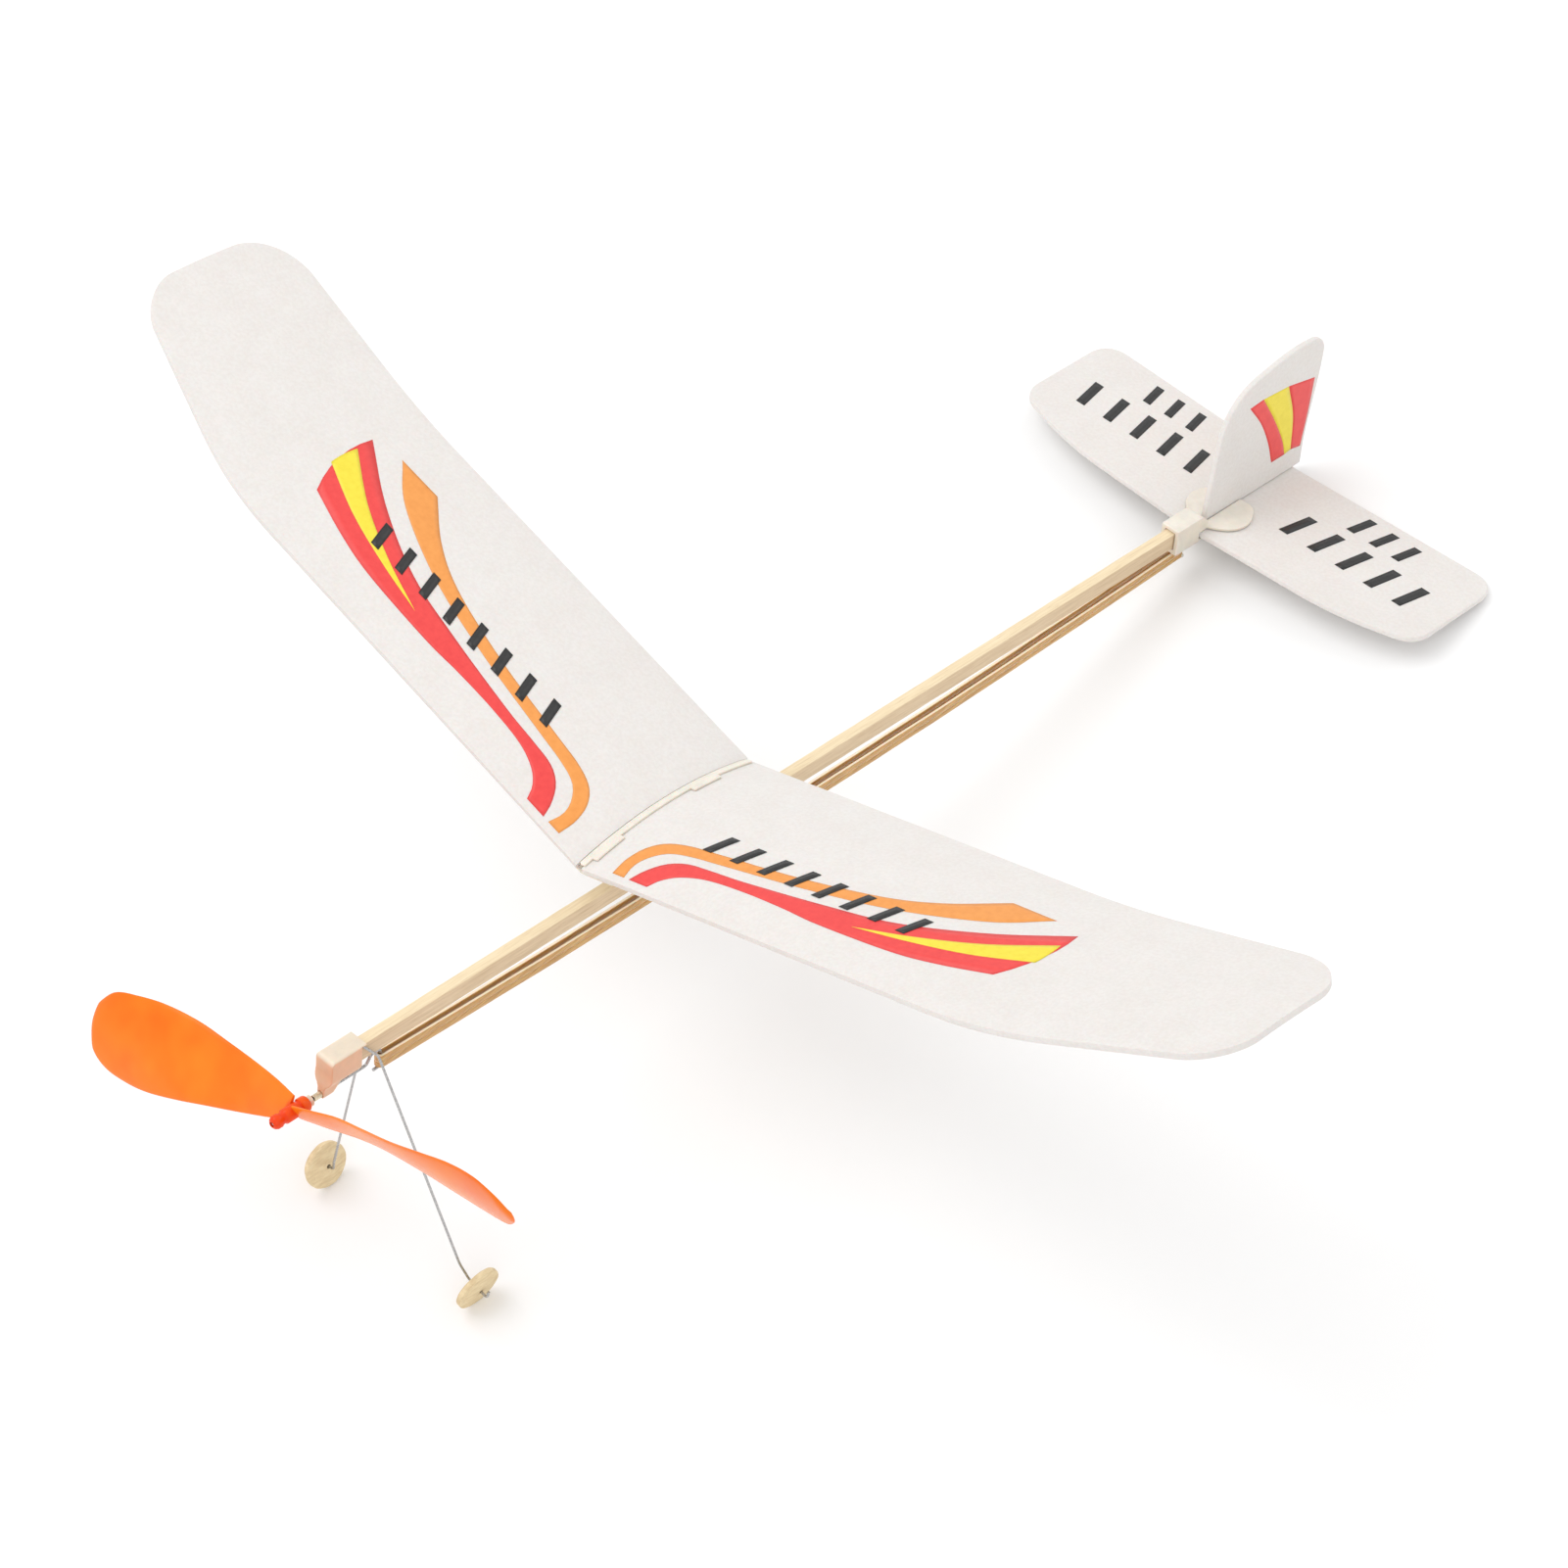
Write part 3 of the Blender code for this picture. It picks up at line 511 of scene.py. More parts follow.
def wheel_look():
    """Turned wood with grain across the disc and faint rings round its axle."""
    look = Look("wheel_wood", (0.60, 0.46, 0.27), 0.7)
    grain = look.noise(0.9, stretch=(0.25, 1.0, 1.0), detail=5.0)
    base = look.ramp(grain, (0.25, (0.66, 0.50, 0.29)), (0.55, (0.80, 0.65, 0.40)), (0.8, (0.88, 0.75, 0.51)))
    rings = look.node("ShaderNodeTexWave", wave_type="RINGS", rings_direction="Z", Scale=0.9, Distortion=1.2)
    look.link(look.coords((1, 1, 1)), rings.inputs["Vector"])
    tint = look.ramp(rings.outputs["Fac"], (0.2, (0.82, 0.78, 0.72)), (0.8, (1.0, 1.0, 1.0)))
    look.colour(look.mix(0.6, base, tint, "MULTIPLY"))
    look.bump(rings.outputs["Fac"], 0.25, 0.06)
    look.bump(grain, 0.3, 0.08)
    return look.material


def ivory_look(name, side, top):
    """Cloudy unpainted plastic with a soft sheen; its sides carry painted shade and its top painted light."""
    look = Look(name, top, 0.38, Subsurface_Weight=0.2, Subsurface_Scale=0.001, Coat_Weight=0.15,
                Coat_Roughness=0.3)
    # side is the colour with painted shade, for sideways faces; top is the colour with painted light, for
    # upward faces.
    base = look.mix(look.painted_light_by_facing(0.3, 0.8), side, top)
    cloud = look.ramp(look.noise(0.25, detail=3.0), (0.3, grey(0.90)), (0.7, grey(1.0)))
    look.colour(look.mix(1.0, base, cloud, "MULTIPLY"))
    look.bump(look.noise(1.5, detail=2.0), 0.12, 0.06)
    look.rough(look.noise(0.9), 0.30, 0.46)
    return look.material


def orange_look():
    """Clear orange plastic that looks redder where it is thick, at the hub."""
    look = Look("orange_plastic", (0.90, 0.16, 0.01), 0.26, Specular_IOR_Level=0.16, Coat_Weight=0.06,
                Coat_Roughness=0.05)
    cloud = look.noise(0.05, detail=2.0)
    thin = look.ramp(cloud, (0.3, (0.86, 0.15, 0.004)), (0.7, (0.90, 0.22, 0.010)))
    hub = look.node("ShaderNodeTexGradient", gradient_type="SPHERICAL")
    look.link(look.coords((1 / HUB_GLOW, 0, 1 / HUB_GLOW), (0, 0, -SHAFT_Z / HUB_GLOW)), hub.inputs["Vector"])
    depth = look.ramp(hub.outputs["Fac"], (0.30, grey(0.0)), (0.60, grey(1.0)))
    look.colour(look.mix(depth, thin, (0.80, 0.055, 0.008)))
    look.bump(look.noise(0.12, detail=1.0), 0.12, 0.4)
    look.rough(look.noise(0.6), 0.18, 0.30)
    return look.material


def steel_look():
    """Drawn spring steel, grey and slightly uneven."""
    look = Look("steel_wire", (0.62, 0.61, 0.60), 0.26, Metallic=1.0)
    draw = look.noise(2.2, detail=3.0)
    look.colour(look.ramp(draw, (0.3, grey(0.32)), (0.7, grey(0.55))))
    look.rough(draw, 0.18, 0.38)
    return look.material


def brass_look():
    """Dull yellow metal with a little tarnish."""
    look = Look("eyelet", (0.72, 0.62, 0.44), 0.35, Metallic=1.0)
    tarnish = look.noise(1.4, detail=3.0)
    look.colour(look.ramp(tarnish, (0.3, (0.60, 0.50, 0.34)), (0.7, (0.82, 0.73, 0.56))))
    look.rough(tarnish, 0.25, 0.5)
    return look.material


def rubber_look():
    """Tan rubber strip, streaked along its length, with a painted highlight on its top edges."""
    look = Look("rubber_strip", (0.50, 0.26, 0.09), 0.38, Subsurface_Weight=0.25, Subsurface_Scale=0.001,
                Coat_Weight=0.25, Coat_Roughness=0.25)
    streak = look.noise(1.8, stretch=(1, 0.05, 1), detail=4.0)
    side = look.ramp(streak, (0.25, (0.34, 0.16, 0.035)), (0.5, (0.54, 0.30, 0.085)),
                     (0.8, (0.74, 0.48, 0.19)))
    # The pale colour on upward faces is a painted highlight.
    look.colour(look.mix(look.painted_light_by_facing(0.70, 0.92), side, (0.96, 0.84, 0.64)))
    look.bump(streak, 0.25, 0.08)
    look.rough(streak, 0.30, 0.50)
    return look.material


foam = foam_look()
balsa = balsa_look()
wheel_wood = wheel_look()
# Each plastic's first colour is its painted shade on the sides, the second its painted light on the top.
ivory = ivory_look("ivory_plastic", (0.76, 0.47, 0.30), (0.79, 0.68, 0.54))
pale = ivory_look("cream_plastic", (0.78, 0.71, 0.60), (0.82, 0.77, 0.68))
orange = orange_look()
steel = steel_look()
brass = brass_look()
rubber = rubber_look()
red_print = print_look("red_print", (0.76, 0.045, 0.045), (0.82, 0.06, 0.055))
orange_print = print_look("orange_print", (0.78, 0.29, 0.055), (0.84, 0.33, 0.07))
yellow_print = print_look("yellow_print", (0.80, 0.66, 0.03), (0.86, 0.72, 0.045))
black_print = print_look("black_print", grey(0.012), grey(0.022))


# ---------------------------------------------------------------- wing

def kinked(x, slope_in, slope_out, kink=KINK_X):
    """Rises at slope_in up to the kink and slope_out beyond it, with a round bend between."""
    start = kink - KINK_BLEND
    if x <= start:
        return slope_in * x
    if x >= kink + KINK_BLEND:
        return slope_in * kink + slope_out * (x - kink)
    return slope_in * x + (slope_out - slope_in) * (x - start) ** 2 / (4 * KINK_BLEND)


def corner_inset(distance, radius):
    """How far a round corner draws an edge in, at a distance from the tip."""
    if distance >= radius:
        return 0.0
    return radius - math.sqrt(max(radius**2 - (radius - distance) ** 2, 0.0))


def wing_edges(x):
    """Where the leading and the trailing edge lie, at a distance out from the root."""
    to_tip = HALF_SPAN - x
    return (ROOT_LE + kinked(x, 0.0, LE_SWEEP, LE_KINK_X) + corner_inset(to_tip, LE_CORNER),
            ROOT_TE + kinked(x, 0.0, TE_SWEEP) - corner_inset(to_tip, TE_CORNER))


def wing_height(x, y):
    """The height of the foam's top face."""
    lead, trail = wing_edges(min(x, HALF_SPAN - LE_CORNER))
    across = min(max((y - lead) / (trail - lead), 0.0), 1.0)
    span = x / HALF_SPAN
    camber = ROOT_CAMBER + (TIP_CAMBER - ROOT_CAMBER) * min(span / 0.7, 1.0)
    return (ROOT_Z + FOAM + kinked(x, INNER_DIHEDRAL, OUTER_DIHEDRAL)
            + camber * 4 * across * (1 - across) + TIP_WASH * span * (0.5 - across))


def on_wing(side, x, y, lift=0.0):
    """A point on the wing's top face, or `lift` above it."""
    step = 0.5
    slope = Vector((-(wing_height(x + step, y) - wing_height(x - step, y)) / (2 * step),
                    -(wing_height(x, y + step) - wing_height(x, y - step)) / (2 * step), 1.0)).normalized()
    point = Vector((x, y, wing_height(x, y))) + slope * lift
    return Vector((side * point.x, point.y, point.z))


def wing_panel(side, name):
    """One half of the foam wing; side is 1 for the left and -1 for the right."""
    def place(along, across):
        x = ROOT_X + (HALF_SPAN - ROOT_X) * math.sin(along * math.pi / 2)
        lead, trail = wing_edges(x)
        y = lead + across * (trail - lead)
        return Vector((side * x, y, wing_height(x, y)))

    panel = piece(name + "_foam", sheet(90, 30, place), "wing", foam, "foam", name)
    thicken(panel, FOAM, -1.0)
    soften(panel, FOAM_EDGE, 3, 60.0)


# Each stripe lies between two edges, given from the root outwards as (distance out, distance aft). The
# stripes of the right half are the mirror image.
RED_FRONT = ((24.5, 103.5), (26.5, 107.5), (31.0, 111.0), (39.0, 113.5), (52.0, 114.5), (66.0, 114.5),
             (80.0, 114.0), (105.0, 115.0), (120.0, 117.5), (136.0, 122.0))
RED_REAR = ((17.5, 103.5), (19.0, 108.0), (22.5, 113.0), (28.0, 116.0), (36.5, 117.0), (49.0, 118.0),
            (75.0, 121.5), (98.0, 126.0), (121.0, 136.0), (142.0, 149.5))
ORANGE_FRONT = ((15.5, 103.5), (14.5, 108.5), (16.0, 113.0), (20.0, 117.0), (27.0, 119.0), (38.0, 120.5),
                (66.0, 124.5), (93.0, 130.5), (118.0, 141.0), (132.0, 152.5))
ORANGE_REAR = ((11.0, 103.5), (10.5, 109.5), (12.0, 115.5), (16.0, 120.0), (23.0, 122.5), (34.0, 124.0),
               (60.0, 127.5), (86.0, 133.5), (102.0, 141.0), (116.5, 152.5))
YELLOW_FRONT = ((88.5, 118.0), (106.0, 121.0), (124.0, 125.5), (141.5, 132.5))
YELLOW_REAR = ((88.5, 118.0), (106.0, 123.5), (124.0, 131.5), (141.5, 143.0))
# How thick the printed film is, and how far above the foam each layer of it starts.
FILM = 0.05
LOW_FILM = 0.03
MIDDLE_FILM = 0.09
TOP_FILM = 0.15


def ribbon(name, front, rear, surface, look, body, lift, slot="foam", bulge=0.0, steps=72, across=6):
    """A thin film between two edges, laid on a surface. Its outer end may bulge outwards."""
    near = resample(smooth_through(front, 12), steps + 1)
    far = resample(smooth_through(rear, 12), steps + 1)

    def place(along, over):
        index = min(int(along * steps + 0.5), steps)
        point = near[index].lerp(far[index], over)
        # the last fifth swells towards a rounded end
        swell = max(0.0, (along - 0.8) / 0.2) ** 2 * bulge * 4 * over * (1 - over)
        return surface(point.x + swell, point.y, lift)

    film = piece(name, sheet(steps, across, place), body, look, slot)
    thicken(film, FILM, 1.0)
    return film


def wing_trim(side, name):
    """The red, yellow and orange stripes of one wing half; yellow lies on red."""
    def surface(x, y, lift):
        return on_wing(side, x, y, lift)

    ribbon(name + "_stripe_red", RED_FRONT, RED_REAR, surface, red_print, "wing", LOW_FILM, bulge=2.6)
    ribbon(name + "_stripe_yellow", YELLOW_FRONT, YELLOW_REAR, surface, yellow_print, "wing", MIDDLE_FILM,
           bulge=0.4, steps=40)
    ribbon(name + "_stripe_orange", ORANGE_FRONT, ORANGE_REAR, surface, orange_print, "wing", LOW_FILM)


def bars(name, first, pitch, count, size, lean, surface, body, lift):
    """A row of plain slanted bars from the `first` centre (x, y) on; the size is (width, length)."""
    work = bmesh.new()
    across, along = 2, 6
    for centre in [(first[0] + pitch * index, first[1]) for index in range(count)]:
        grid = []
        for i in range(across + 1):
            for j in range(along + 1):
                a, b = i / across - 0.5, j / along - 0.5
                grid.append(work.verts.new(surface(centre[0] + a * size[0] + b * lean,
                                                   centre[1] + b * size[1], lift)))
        for i in range(across):
            for j in range(along):
                k = i * (along + 1) + j
                work.faces.new((grid[k], grid[k + along + 1], grid[k + along + 2], grid[k + 1]))
    mesh = new_mesh(work)
    if mesh.polygons[0].normal.z < 0:
        mesh.flip_normals()
    thicken(piece(name, mesh, body, black_print, "foam"), FILM, 1.0)


def wing_bars(side, name, first):
    """A row of eight bars over the stripes of one wing half."""
    bars(name + "_bars", (first, 127.5), 10.4, 8, (3.2, 8.8), 3.0,
         lambda x, y, lift: on_wing(side, x, y, lift), "wing", TOP_FILM)


for side, name, first_bar in ((1, "wing_left", 30.0), (-1, "wing_right", 40.5)):
    wing_panel(side, name)
    wing_trim(side, name)
    wing_bars(side, name, first_bar)


# ---------------------------------------------------------------- tail

# Corners and the reach of their bends: the tailplane's left half from above, and the fin from the side.
STAB_HALF = ((0.0, 372.5), (56.0, 375.3), (83.0, 383.6), (83.0, 425.4), (0.0, 421.7))
STAB_BENDS = (0, 22, 7, 9, 0)
FIN_OUTLINE = ((377.4, -4.3), (380.8, 41.4), (411.8, 47.7), (427.2, 46.4), (427.2, 33.0), (424.5, 8.0),
               (424.8, -4.3))
FIN_BENDS = (0, 15, 20, 8, 30, 12, 0)


def tail_surfaces():
    """The flat foam tailplane and the fin that stands on it."""
    outline = both_sides(rounded(STAB_HALF, STAB_BENDS))
    stab = piece("tailplane_foam", slab(outline, STAB_TOP - FOAM, STAB_TOP), "airframe", foam, "foam",
                 "stabilizer")
    soften(stab, FOAM_EDGE)
    fin = piece("fin_foam", slab(rounded(FIN_OUTLINE, FIN_BENDS), -FOAM / 2, FOAM / 2, "X"), "airframe", foam,
                "foam", "fin")
    soften(fin, FOAM_EDGE)


def tail_bars(side, name):
    """A front row of five bars and a rear row of three on one half of the tailplane."""
    def surface(x, y, lift):
        return Vector((side * x, y, STAB_TOP + lift))

    bars(name + "_front", (21.5, 399.6), 11.6, 5, (3.6, 12.4), 2.4, surface, "airframe", LOW_FILM)
    bars(name + "_rear", (35.2, 415.0), 9.2, 3, (3.2, 9.6), 2.0, surface, "airframe", LOW_FILM)


tail_surfaces()
tail_bars(1, "tail_bars_left")
tail_bars(-1, "tail_bars_right")

# The edges of the fin's three bands from front to rear, each from the top down as (distance aft, height).
FIN_EDGES = (
    ((392.0, 34.0), (399.5, 24.0), (405.0, 13.5), (408.5, 4.0)),
    ((398.5, 34.5), (406.5, 22.0), (412.5, 11.0), (415.0, 4.0)),
    ((411.0, 33.5), (416.0, 19.5), (418.0, 4.5)),
    ((424.5, 30.5), (424.0, 16.0), (423.0, 3.5)),
)
FIN_BANDS = (("red_front", red_print), ("yellow", yellow_print), ("red_rear", red_print))


def fin_trim():
    """Red, yellow and red bands on both faces of the fin."""
    for side, hand in ((1, "left"), (-1, "right")):
        def surface(y, z, lift):
            return Vector((side * (FOAM / 2 + lift), y, z))

        for (band, look), front, rear in zip(FIN_BANDS, FIN_EDGES, FIN_EDGES[1:]):
            film = ribbon("fin_stripe_%s_%s" % (hand, band), front, rear, surface, look, "airframe",
                          LOW_FILM, steps=24)
            film.modifiers[0].offset = 0.0


fin_trim()


# ---------------------------------------------------------------- propeller and shaft

HUB_FRONT = -14.7
HUB_REAR = -1.9
PROP_RADIUS = 90.0
PROP_TURN = math.radians(15.0)
BLADE_Y = -5.5
BLADE_THICKNESS = 1.2
BLADE_CAMBER = 0.05
SHAFT_RADIUS = 0.5

# fraction of the radius, leading edge forward and up, trailing edge aft and down
BLADE_STATIONS = (
    (0.015, 2.5, 3.0, 1.0, 3.5),
    (0.12, 3.0, 5.5, 3.0, 4.0),
    (0.25, 3.5, 8.5, 5.0, 4.0),
    (0.40, 5.0, 11.0, 6.5, 4.5),
    (0.55, 6.5, 13.5, 7.0, 6.0),
    (0.70, 7.0, 16.0, 6.0, 7.0),
    (0.82, 6.5, 17.0, 4.5, 6.5),
    (0.92, 6.0, 16.0, 3.0, 5.0),
    (0.98, 5.0, 12.5, 1.0, 1.0),
    (0.995, 3.5, 9.0, 0.0, -1.5),
    (1.00, 2.0, 5.5, -1.0, -4.0),
)


def station_value(fraction, column):
    """A smooth curve through one column of the blade stations."""
    rows = BLADE_STATIONS
    index = 0
    while index < len(rows) - 2 and fraction > rows[index + 1][0]:
        index += 1
    before, start, end = rows[max(index - 1, 0)], rows[index], rows[index + 1]
    after = rows[min(index + 2, len(rows) - 1)]
    width = end[0] - start[0]
    t = (fraction - start[0]) / width
    slope_in = (end[column] - before[column]) / (end[0] - before[0]) * width
    slope_out = (after[column] - start[column]) / (after[0] - start[0]) * width
    return ((2 * t**3 - 3 * t**2 + 1) * start[column] + (t**3 - 2 * t**2 + t) * slope_in
            + (3 * t**2 - 2 * t**3) * end[column] + (t**3 - t**2) * slope_out)


def blade(turn):
    """A twisted blade with round edges, as rings of points from root to tip."""
    rings = []
    spans, half, root = 56, 14, BLADE_STATIONS[0][0]
    for step in range(spans + 1):
        along = step / spans
        fraction = root + (1.0 - root) * math.sin(along * math.pi / 2)
        lead = Vector((0.0, -station_value(fraction, 1), station_value(fraction, 2)))
        trail = Vector((0.0, station_value(fraction, 3), -station_value(fraction, 4)))
        chord = lead - trail
        middle, reach = (lead + trail) / 2, chord.length / 2
        chord.normalize()
        normal = Vector((0.0, -chord.z, chord.y))
        depth = BLADE_THICKNESS / 2 * (1.0 - 0.35 * along)
        if step == spans:
            depth *= 0.4
        ring = []
        for index in range(2 * half):
            around = math.pi * index / half
            across = math.cos(around)
            # nearly flat faces, rounded at both edges
            rise = depth * math.copysign(abs(math.sin(around)) ** 0.5, math.sin(around))
            bulge = BLADE_CAMBER * 2 * reach * (1 - across**2)
            ring.append(Vector((fraction * PROP_RADIUS, 0, 0)) + middle + chord * reach * across
                        + normal * (bulge + rise))
        rings.append(ring)
    mesh = loft(rings, shade=60.0)
    mesh.transform(Matrix.Translation(Vector((0, BLADE_Y, SHAFT_Z)) * MM)
                   @ Matrix.Rotation(turn - PROP_TURN, 4, "Y"))
    return mesh


def on_shaft(mesh, y):
    """Stands a lathed piece on the shaft's line, its base at y."""
    mesh.transform(Matrix.Translation(Vector((0, y, SHAFT_Z)) * MM) @ Matrix.Rotation(-math.pi / 2, 4, "X"))
    return mesh


def propeller():
    """One moulding: a hub with a waist and a collar, and two blades."""
    hub = on_shaft(lathe(((0.62, 0.9), (0.62, 0.0), (1.0, 0.0), (1.7, 0.5), (2.1, 1.3), (2.1, 2.6),
                          (1.75, 3.3), (1.75, 4.0), (2.2, 4.6), (2.2, 9.3), (2.0, 9.6), (2.0, 10.0),
                          (2.45, 10.4), (2.5, 10.9), (2.5, 12.3), (2.2, 12.8), (0.9, 12.8), (0.9, 12.2)),
                         48), HUB_FRONT)
    hole = on_shaft(lathe(((0.0001, -2.0), (0.85, -2.0), (0.85, 15.0), (0.0001, 15.0)), 24), HUB_FRONT)
    mesh = fused([hub, blade(0.0), blade(math.pi)], [hole])
    mesh.set_sharp_from_angle(angle=math.radians(38))
    prop = piece("propeller_moulding", mesh, "propeller_unit", orange, "orange_plastic", "propeller")
    soften(prop, 0.12, 2, 50.0)


def shaft_fittings():
    """The wire shaft with its hook, the eyelet it turns in, and the washer behind the hub."""
    hook = [(0, HUB_FRONT + 0.4, 0), (0, 20.3, 0), (0, 22.1, 3.2), (0, 25.5, 3.2), (0, 25.5, -3.6),
            (0, 22.9, -3.7)]
    path = resample(rounded_path([Vector(point) + Vector((0, 0, SHAFT_Z)) for point in hook], 1.0, 10), 90)
    wire = sweep(path, circle(SHAFT_RADIUS, 16), up=Vector((1, 0, 0)), shade=50.0)
    piece("shaft_wire", wire, "propeller_unit", steel, "steel_wire", "prop_shaft")
    bush = on_shaft(lathe(((0.75, 0.1), (0.85, 0.0), (0.95, 0.05), (0.98, 0.2), (0.98, 7.0), (1.15, 7.12),
                           (1.1, 7.25), (0.85, 7.25), (0.75, 7.15)), 40), 0.4)
    piece("bearing_eyelet", bush, "airframe", brass, "eyelet", "bearing_bush")
    washer = on_shaft(lathe(((0.75, 0.1), (0.9, 0.0), (1.5, 0.0), (1.65, 0.15), (1.65, 1.15), (1.5, 1.3),
                             (0.9, 1.3), (0.75, 1.2)), 40), HUB_REAR + 0.3)
    piece("thrust_bead", washer, "propeller_unit", ivory, "ivory_plastic", "thrust_washer")


propeller()
shaft_fittings()


# ---------------------------------------------------------------- stick and nose

def motor_stick():
    """A sawn stick whose arrises are not quite even."""
    rings, steps = [], 120
    for step in range(steps + 1):
        y = STICK_FRONT + (STICK_REAR - STICK_FRONT) * step / steps
        corner = 0.28 + 0.08 * math.sin(y * 0.31) * math.sin(y * 0.077 + 1.0)
        rings.append([Vector((a, y, b - STICK_HEIGHT / 2))
                      for a, b in rounded_box_section(STICK_WIDTH / 2, STICK_HEIGHT / 2, corner)])
    piece("balsa_stick", loft(rings, shade=30.0), "airframe", balsa, "balsa", "motor_stick")


def nose_bearing():
    """The socket on the stick's front end, with a web down to the shaft's bearing."""
    top, half, neck = GAP + WALL, SOCKET + WALL, 1.4
    low = SHAFT_Z - neck
    profile = rounded(((4.4, top), (17.3, top), (17.3, -7.8), (10.8, -8.0), (7.2, low + 0.9), (6.6, low),
                       (3.2, low), (3.2, -8.8), (4.4, -4.5)), (1.6, 0.2, 1.2, 2.0, 0.4, 0.4, 0.4, 1.6, 2.0))
    front_view = ((-half, top), (-half, -6.4), (-neck, -8.6), (-neck, low), (neck, low), (neck, -8.6),
                  (half, -6.4), (half, top))
    body = slab(profile, -6.0, 6.0, "X")
    trim = rounded(front_view, (0.8, 1.2, 1.2, 1.3, 1.3, 1.2, 1.2, 0.8))
    nose = fused([body], [slab(trim, -1.0, 18.3, "Y")], cut="INTERSECT")
    mesh = fused([nose], [stick_pocket(6.2, 30.0),
                          block((-10, 15.5, -20), (10, 30, top - 0.45)),
                          on_shaft(lathe(((0.0001, -5), (1.08, -5), (1.08, 20), (0.0001, 20)), 32), 0)],
                 voxel=0.18, smoothing=4)
    piece("nose_moulding", mesh, "airframe", ivory, "ivory_plastic", "nose_bearing")


motor_stick()
nose_bearing()


# ---------------------------------------------------------------- tail socket

# Corners and the reach of their bends, from above: the left half of the lobes, and the tongue.
LOBE_HALF = ((0.0, 374.0), (6.0, 376.8), (10.8, 381.4), (11.6, 388.0), (7.0, 394.8), (1.6, 394.4),
             (0.0, 394.4))
LOBE_BENDS = (0, 3, 3, 4, 4, 0, 0)
TONGUE = ((-3.0, 371.5), (3.0, 371.5), (4.6, 390.0), (-4.6, 390.0))
TONGUE_BENDS = (0, 0, 3, 3)


def tail_mount():
    """The socket on the stick's rear end: lobes and a tongue grip the tail, a hook holds the rubber."""
    front, rear = 361.0, 373.0
    top, half = GAP + WALL, SOCKET + WALL
    seat_top, seat_floor = STAB_TOP + GAP, STAB_TOP - FOAM - GAP
    low = seat_floor - 1.0
    profile = rounded(((front, top), (rear, top), (rear + 3, -1.2), (rear + 3, low), (front, low - 0.1)),
                      (0.4, 1.0, 0.8, 0.0, 0.4))
    plan = both_sides(rounded(LOBE_HALF, LOBE_BENDS))
    tongue = rounded(TONGUE, TONGUE_BENDS)
    hook = rounded_path(((0, HOOK_REAR, low + 0.6), (0, HOOK_REAR, -13.4), (0, 369.4, -13.9)), 1.0)
    mesh = fused([slab(profile, -half, half, "X"), slab(plan, seat_top - 1.0, seat_top + 1.0),
                  slab(tongue, seat_floor - 0.9, seat_floor + 1.0),
                  sweep(hook, circle(0.85), up=Vector((1, 0, 0)))],
                 [stick_pocket(350, STICK_REAR + GAP),
                  block((-1.3, rear + 3.5, seat_top - 0.5), (1.3, 400, 5)),
                  block((-40, rear - 0.8, seat_floor), (40, 400, seat_top))],
                 voxel=0.2, smoothing=3)
    piece("tail_moulding", mesh, "airframe", pale, "ivory_plastic", "tail_mount")


tail_mount()


# ---------------------------------------------------------------- wing rib and saddle

RIB_THICKNESS = 1.5
RIB_FOOT = 1.9
SADDLE_FRONT = 123.0
SADDLE_REAR = 166.0
TAB_MIDDLES = (110.5, 149.5)
TAB_HALF = 5.5
PAST = 6.0


def rib_and_saddle():
    """The centre rib with its flange, cap strip and tabs, and the clip that slides on the stick."""
    front, rear, steps = ROOT_LE + 1.0, ROOT_TE - 1.0, 48
    web = RIB_THICKNESS / 2

    def follow(low, high, lift, start=front, end=rear):
        """Places a sheet on the foam's top face, or `lift` above it."""
        def place(along, across):
            x = low + along * (high - low)
            y = start + across * (end - start)
            return Vector((x, y, wing_height(abs(x), y) + lift))
        return place

    ys = [front + (rear - front) * step / steps for step in range(steps + 1)]
    crest = [Vector((y, wing_height(0.0, y) + 0.65)) for y in ys]
    foot = [Vector((SADDLE_REAR, RIB_FOOT)), Vector((SADDLE_FRONT, RIB_FOOT))]
    rib = piece("rib_web", slab(crest + foot, -web, web, "X"), "wing", pale, "ivory_plastic", "wing_rib")
    soften(rib, 0.25)
    flange = piece("rib_flange", sheet(16, steps, follow(-12.0, 12.0, -2.55)), "wing", pale, "ivory_plastic")
    thicken(flange, 1.0, -1.0)
    soften(flange, 0.3)
    strip = piece("rib_strip", sheet(8, steps, follow(-0.4, 1.7, 0.0)), "wing", pale, "ivory_plastic")
    thicken(strip, 0.7, 1.0)
    soften(strip, 0.3)
    for index, y in enumerate(TAB_MIDDLES):
        tab = piece("rib_tab_%d" % index, sheet(6, 16, follow(0.8, 3.5, 0.0, y - TAB_HALF, y + TAB_HALF)),
                    "wing", pale, "ivory_plastic")
        thicken(tab, 0.85, 1.0)
        soften(tab, 0.35)

    outer, roof, sole = SOCKET + 1.2, GAP + 1.2, -STICK_HEIGHT - GAP - 0.9
    ridge = web + GAP + 1.0
    side = [(outer, sole), (outer, roof), (ridge, roof), (ridge, 4.2)]
    outline = [Vector(point) for point in side] + [Vector((-x, z)) for x, z in reversed(side)]
    start, end = SADDLE_FRONT - PAST, SADDLE_REAR + PAST
    mesh = fused([slab(outline, SADDLE_FRONT, SADDLE_REAR, "Y")],
                 [stick_pocket(start, end), block((-1, start, -9), (1, end, -6)),
                  block((-web - GAP, start, roof), (web + GAP, end, 9)),
                  block((-20, 136, -20), (20, 153, 0.2))], voxel=0.25, smoothing=2)
    piece("saddle_moulding", mesh, "wing", pale, "ivory_plastic", "wing_saddle")


rib_and_saddle()


# ---------------------------------------------------------------- rubber motor

BAND_SAG = 3.4
BAND_HEIGHT_FRONT = 2.3
BAND_HEIGHT_REAR = 1.8
BAND_GAUGE = 1.3
BAND_SPREAD = 0.15


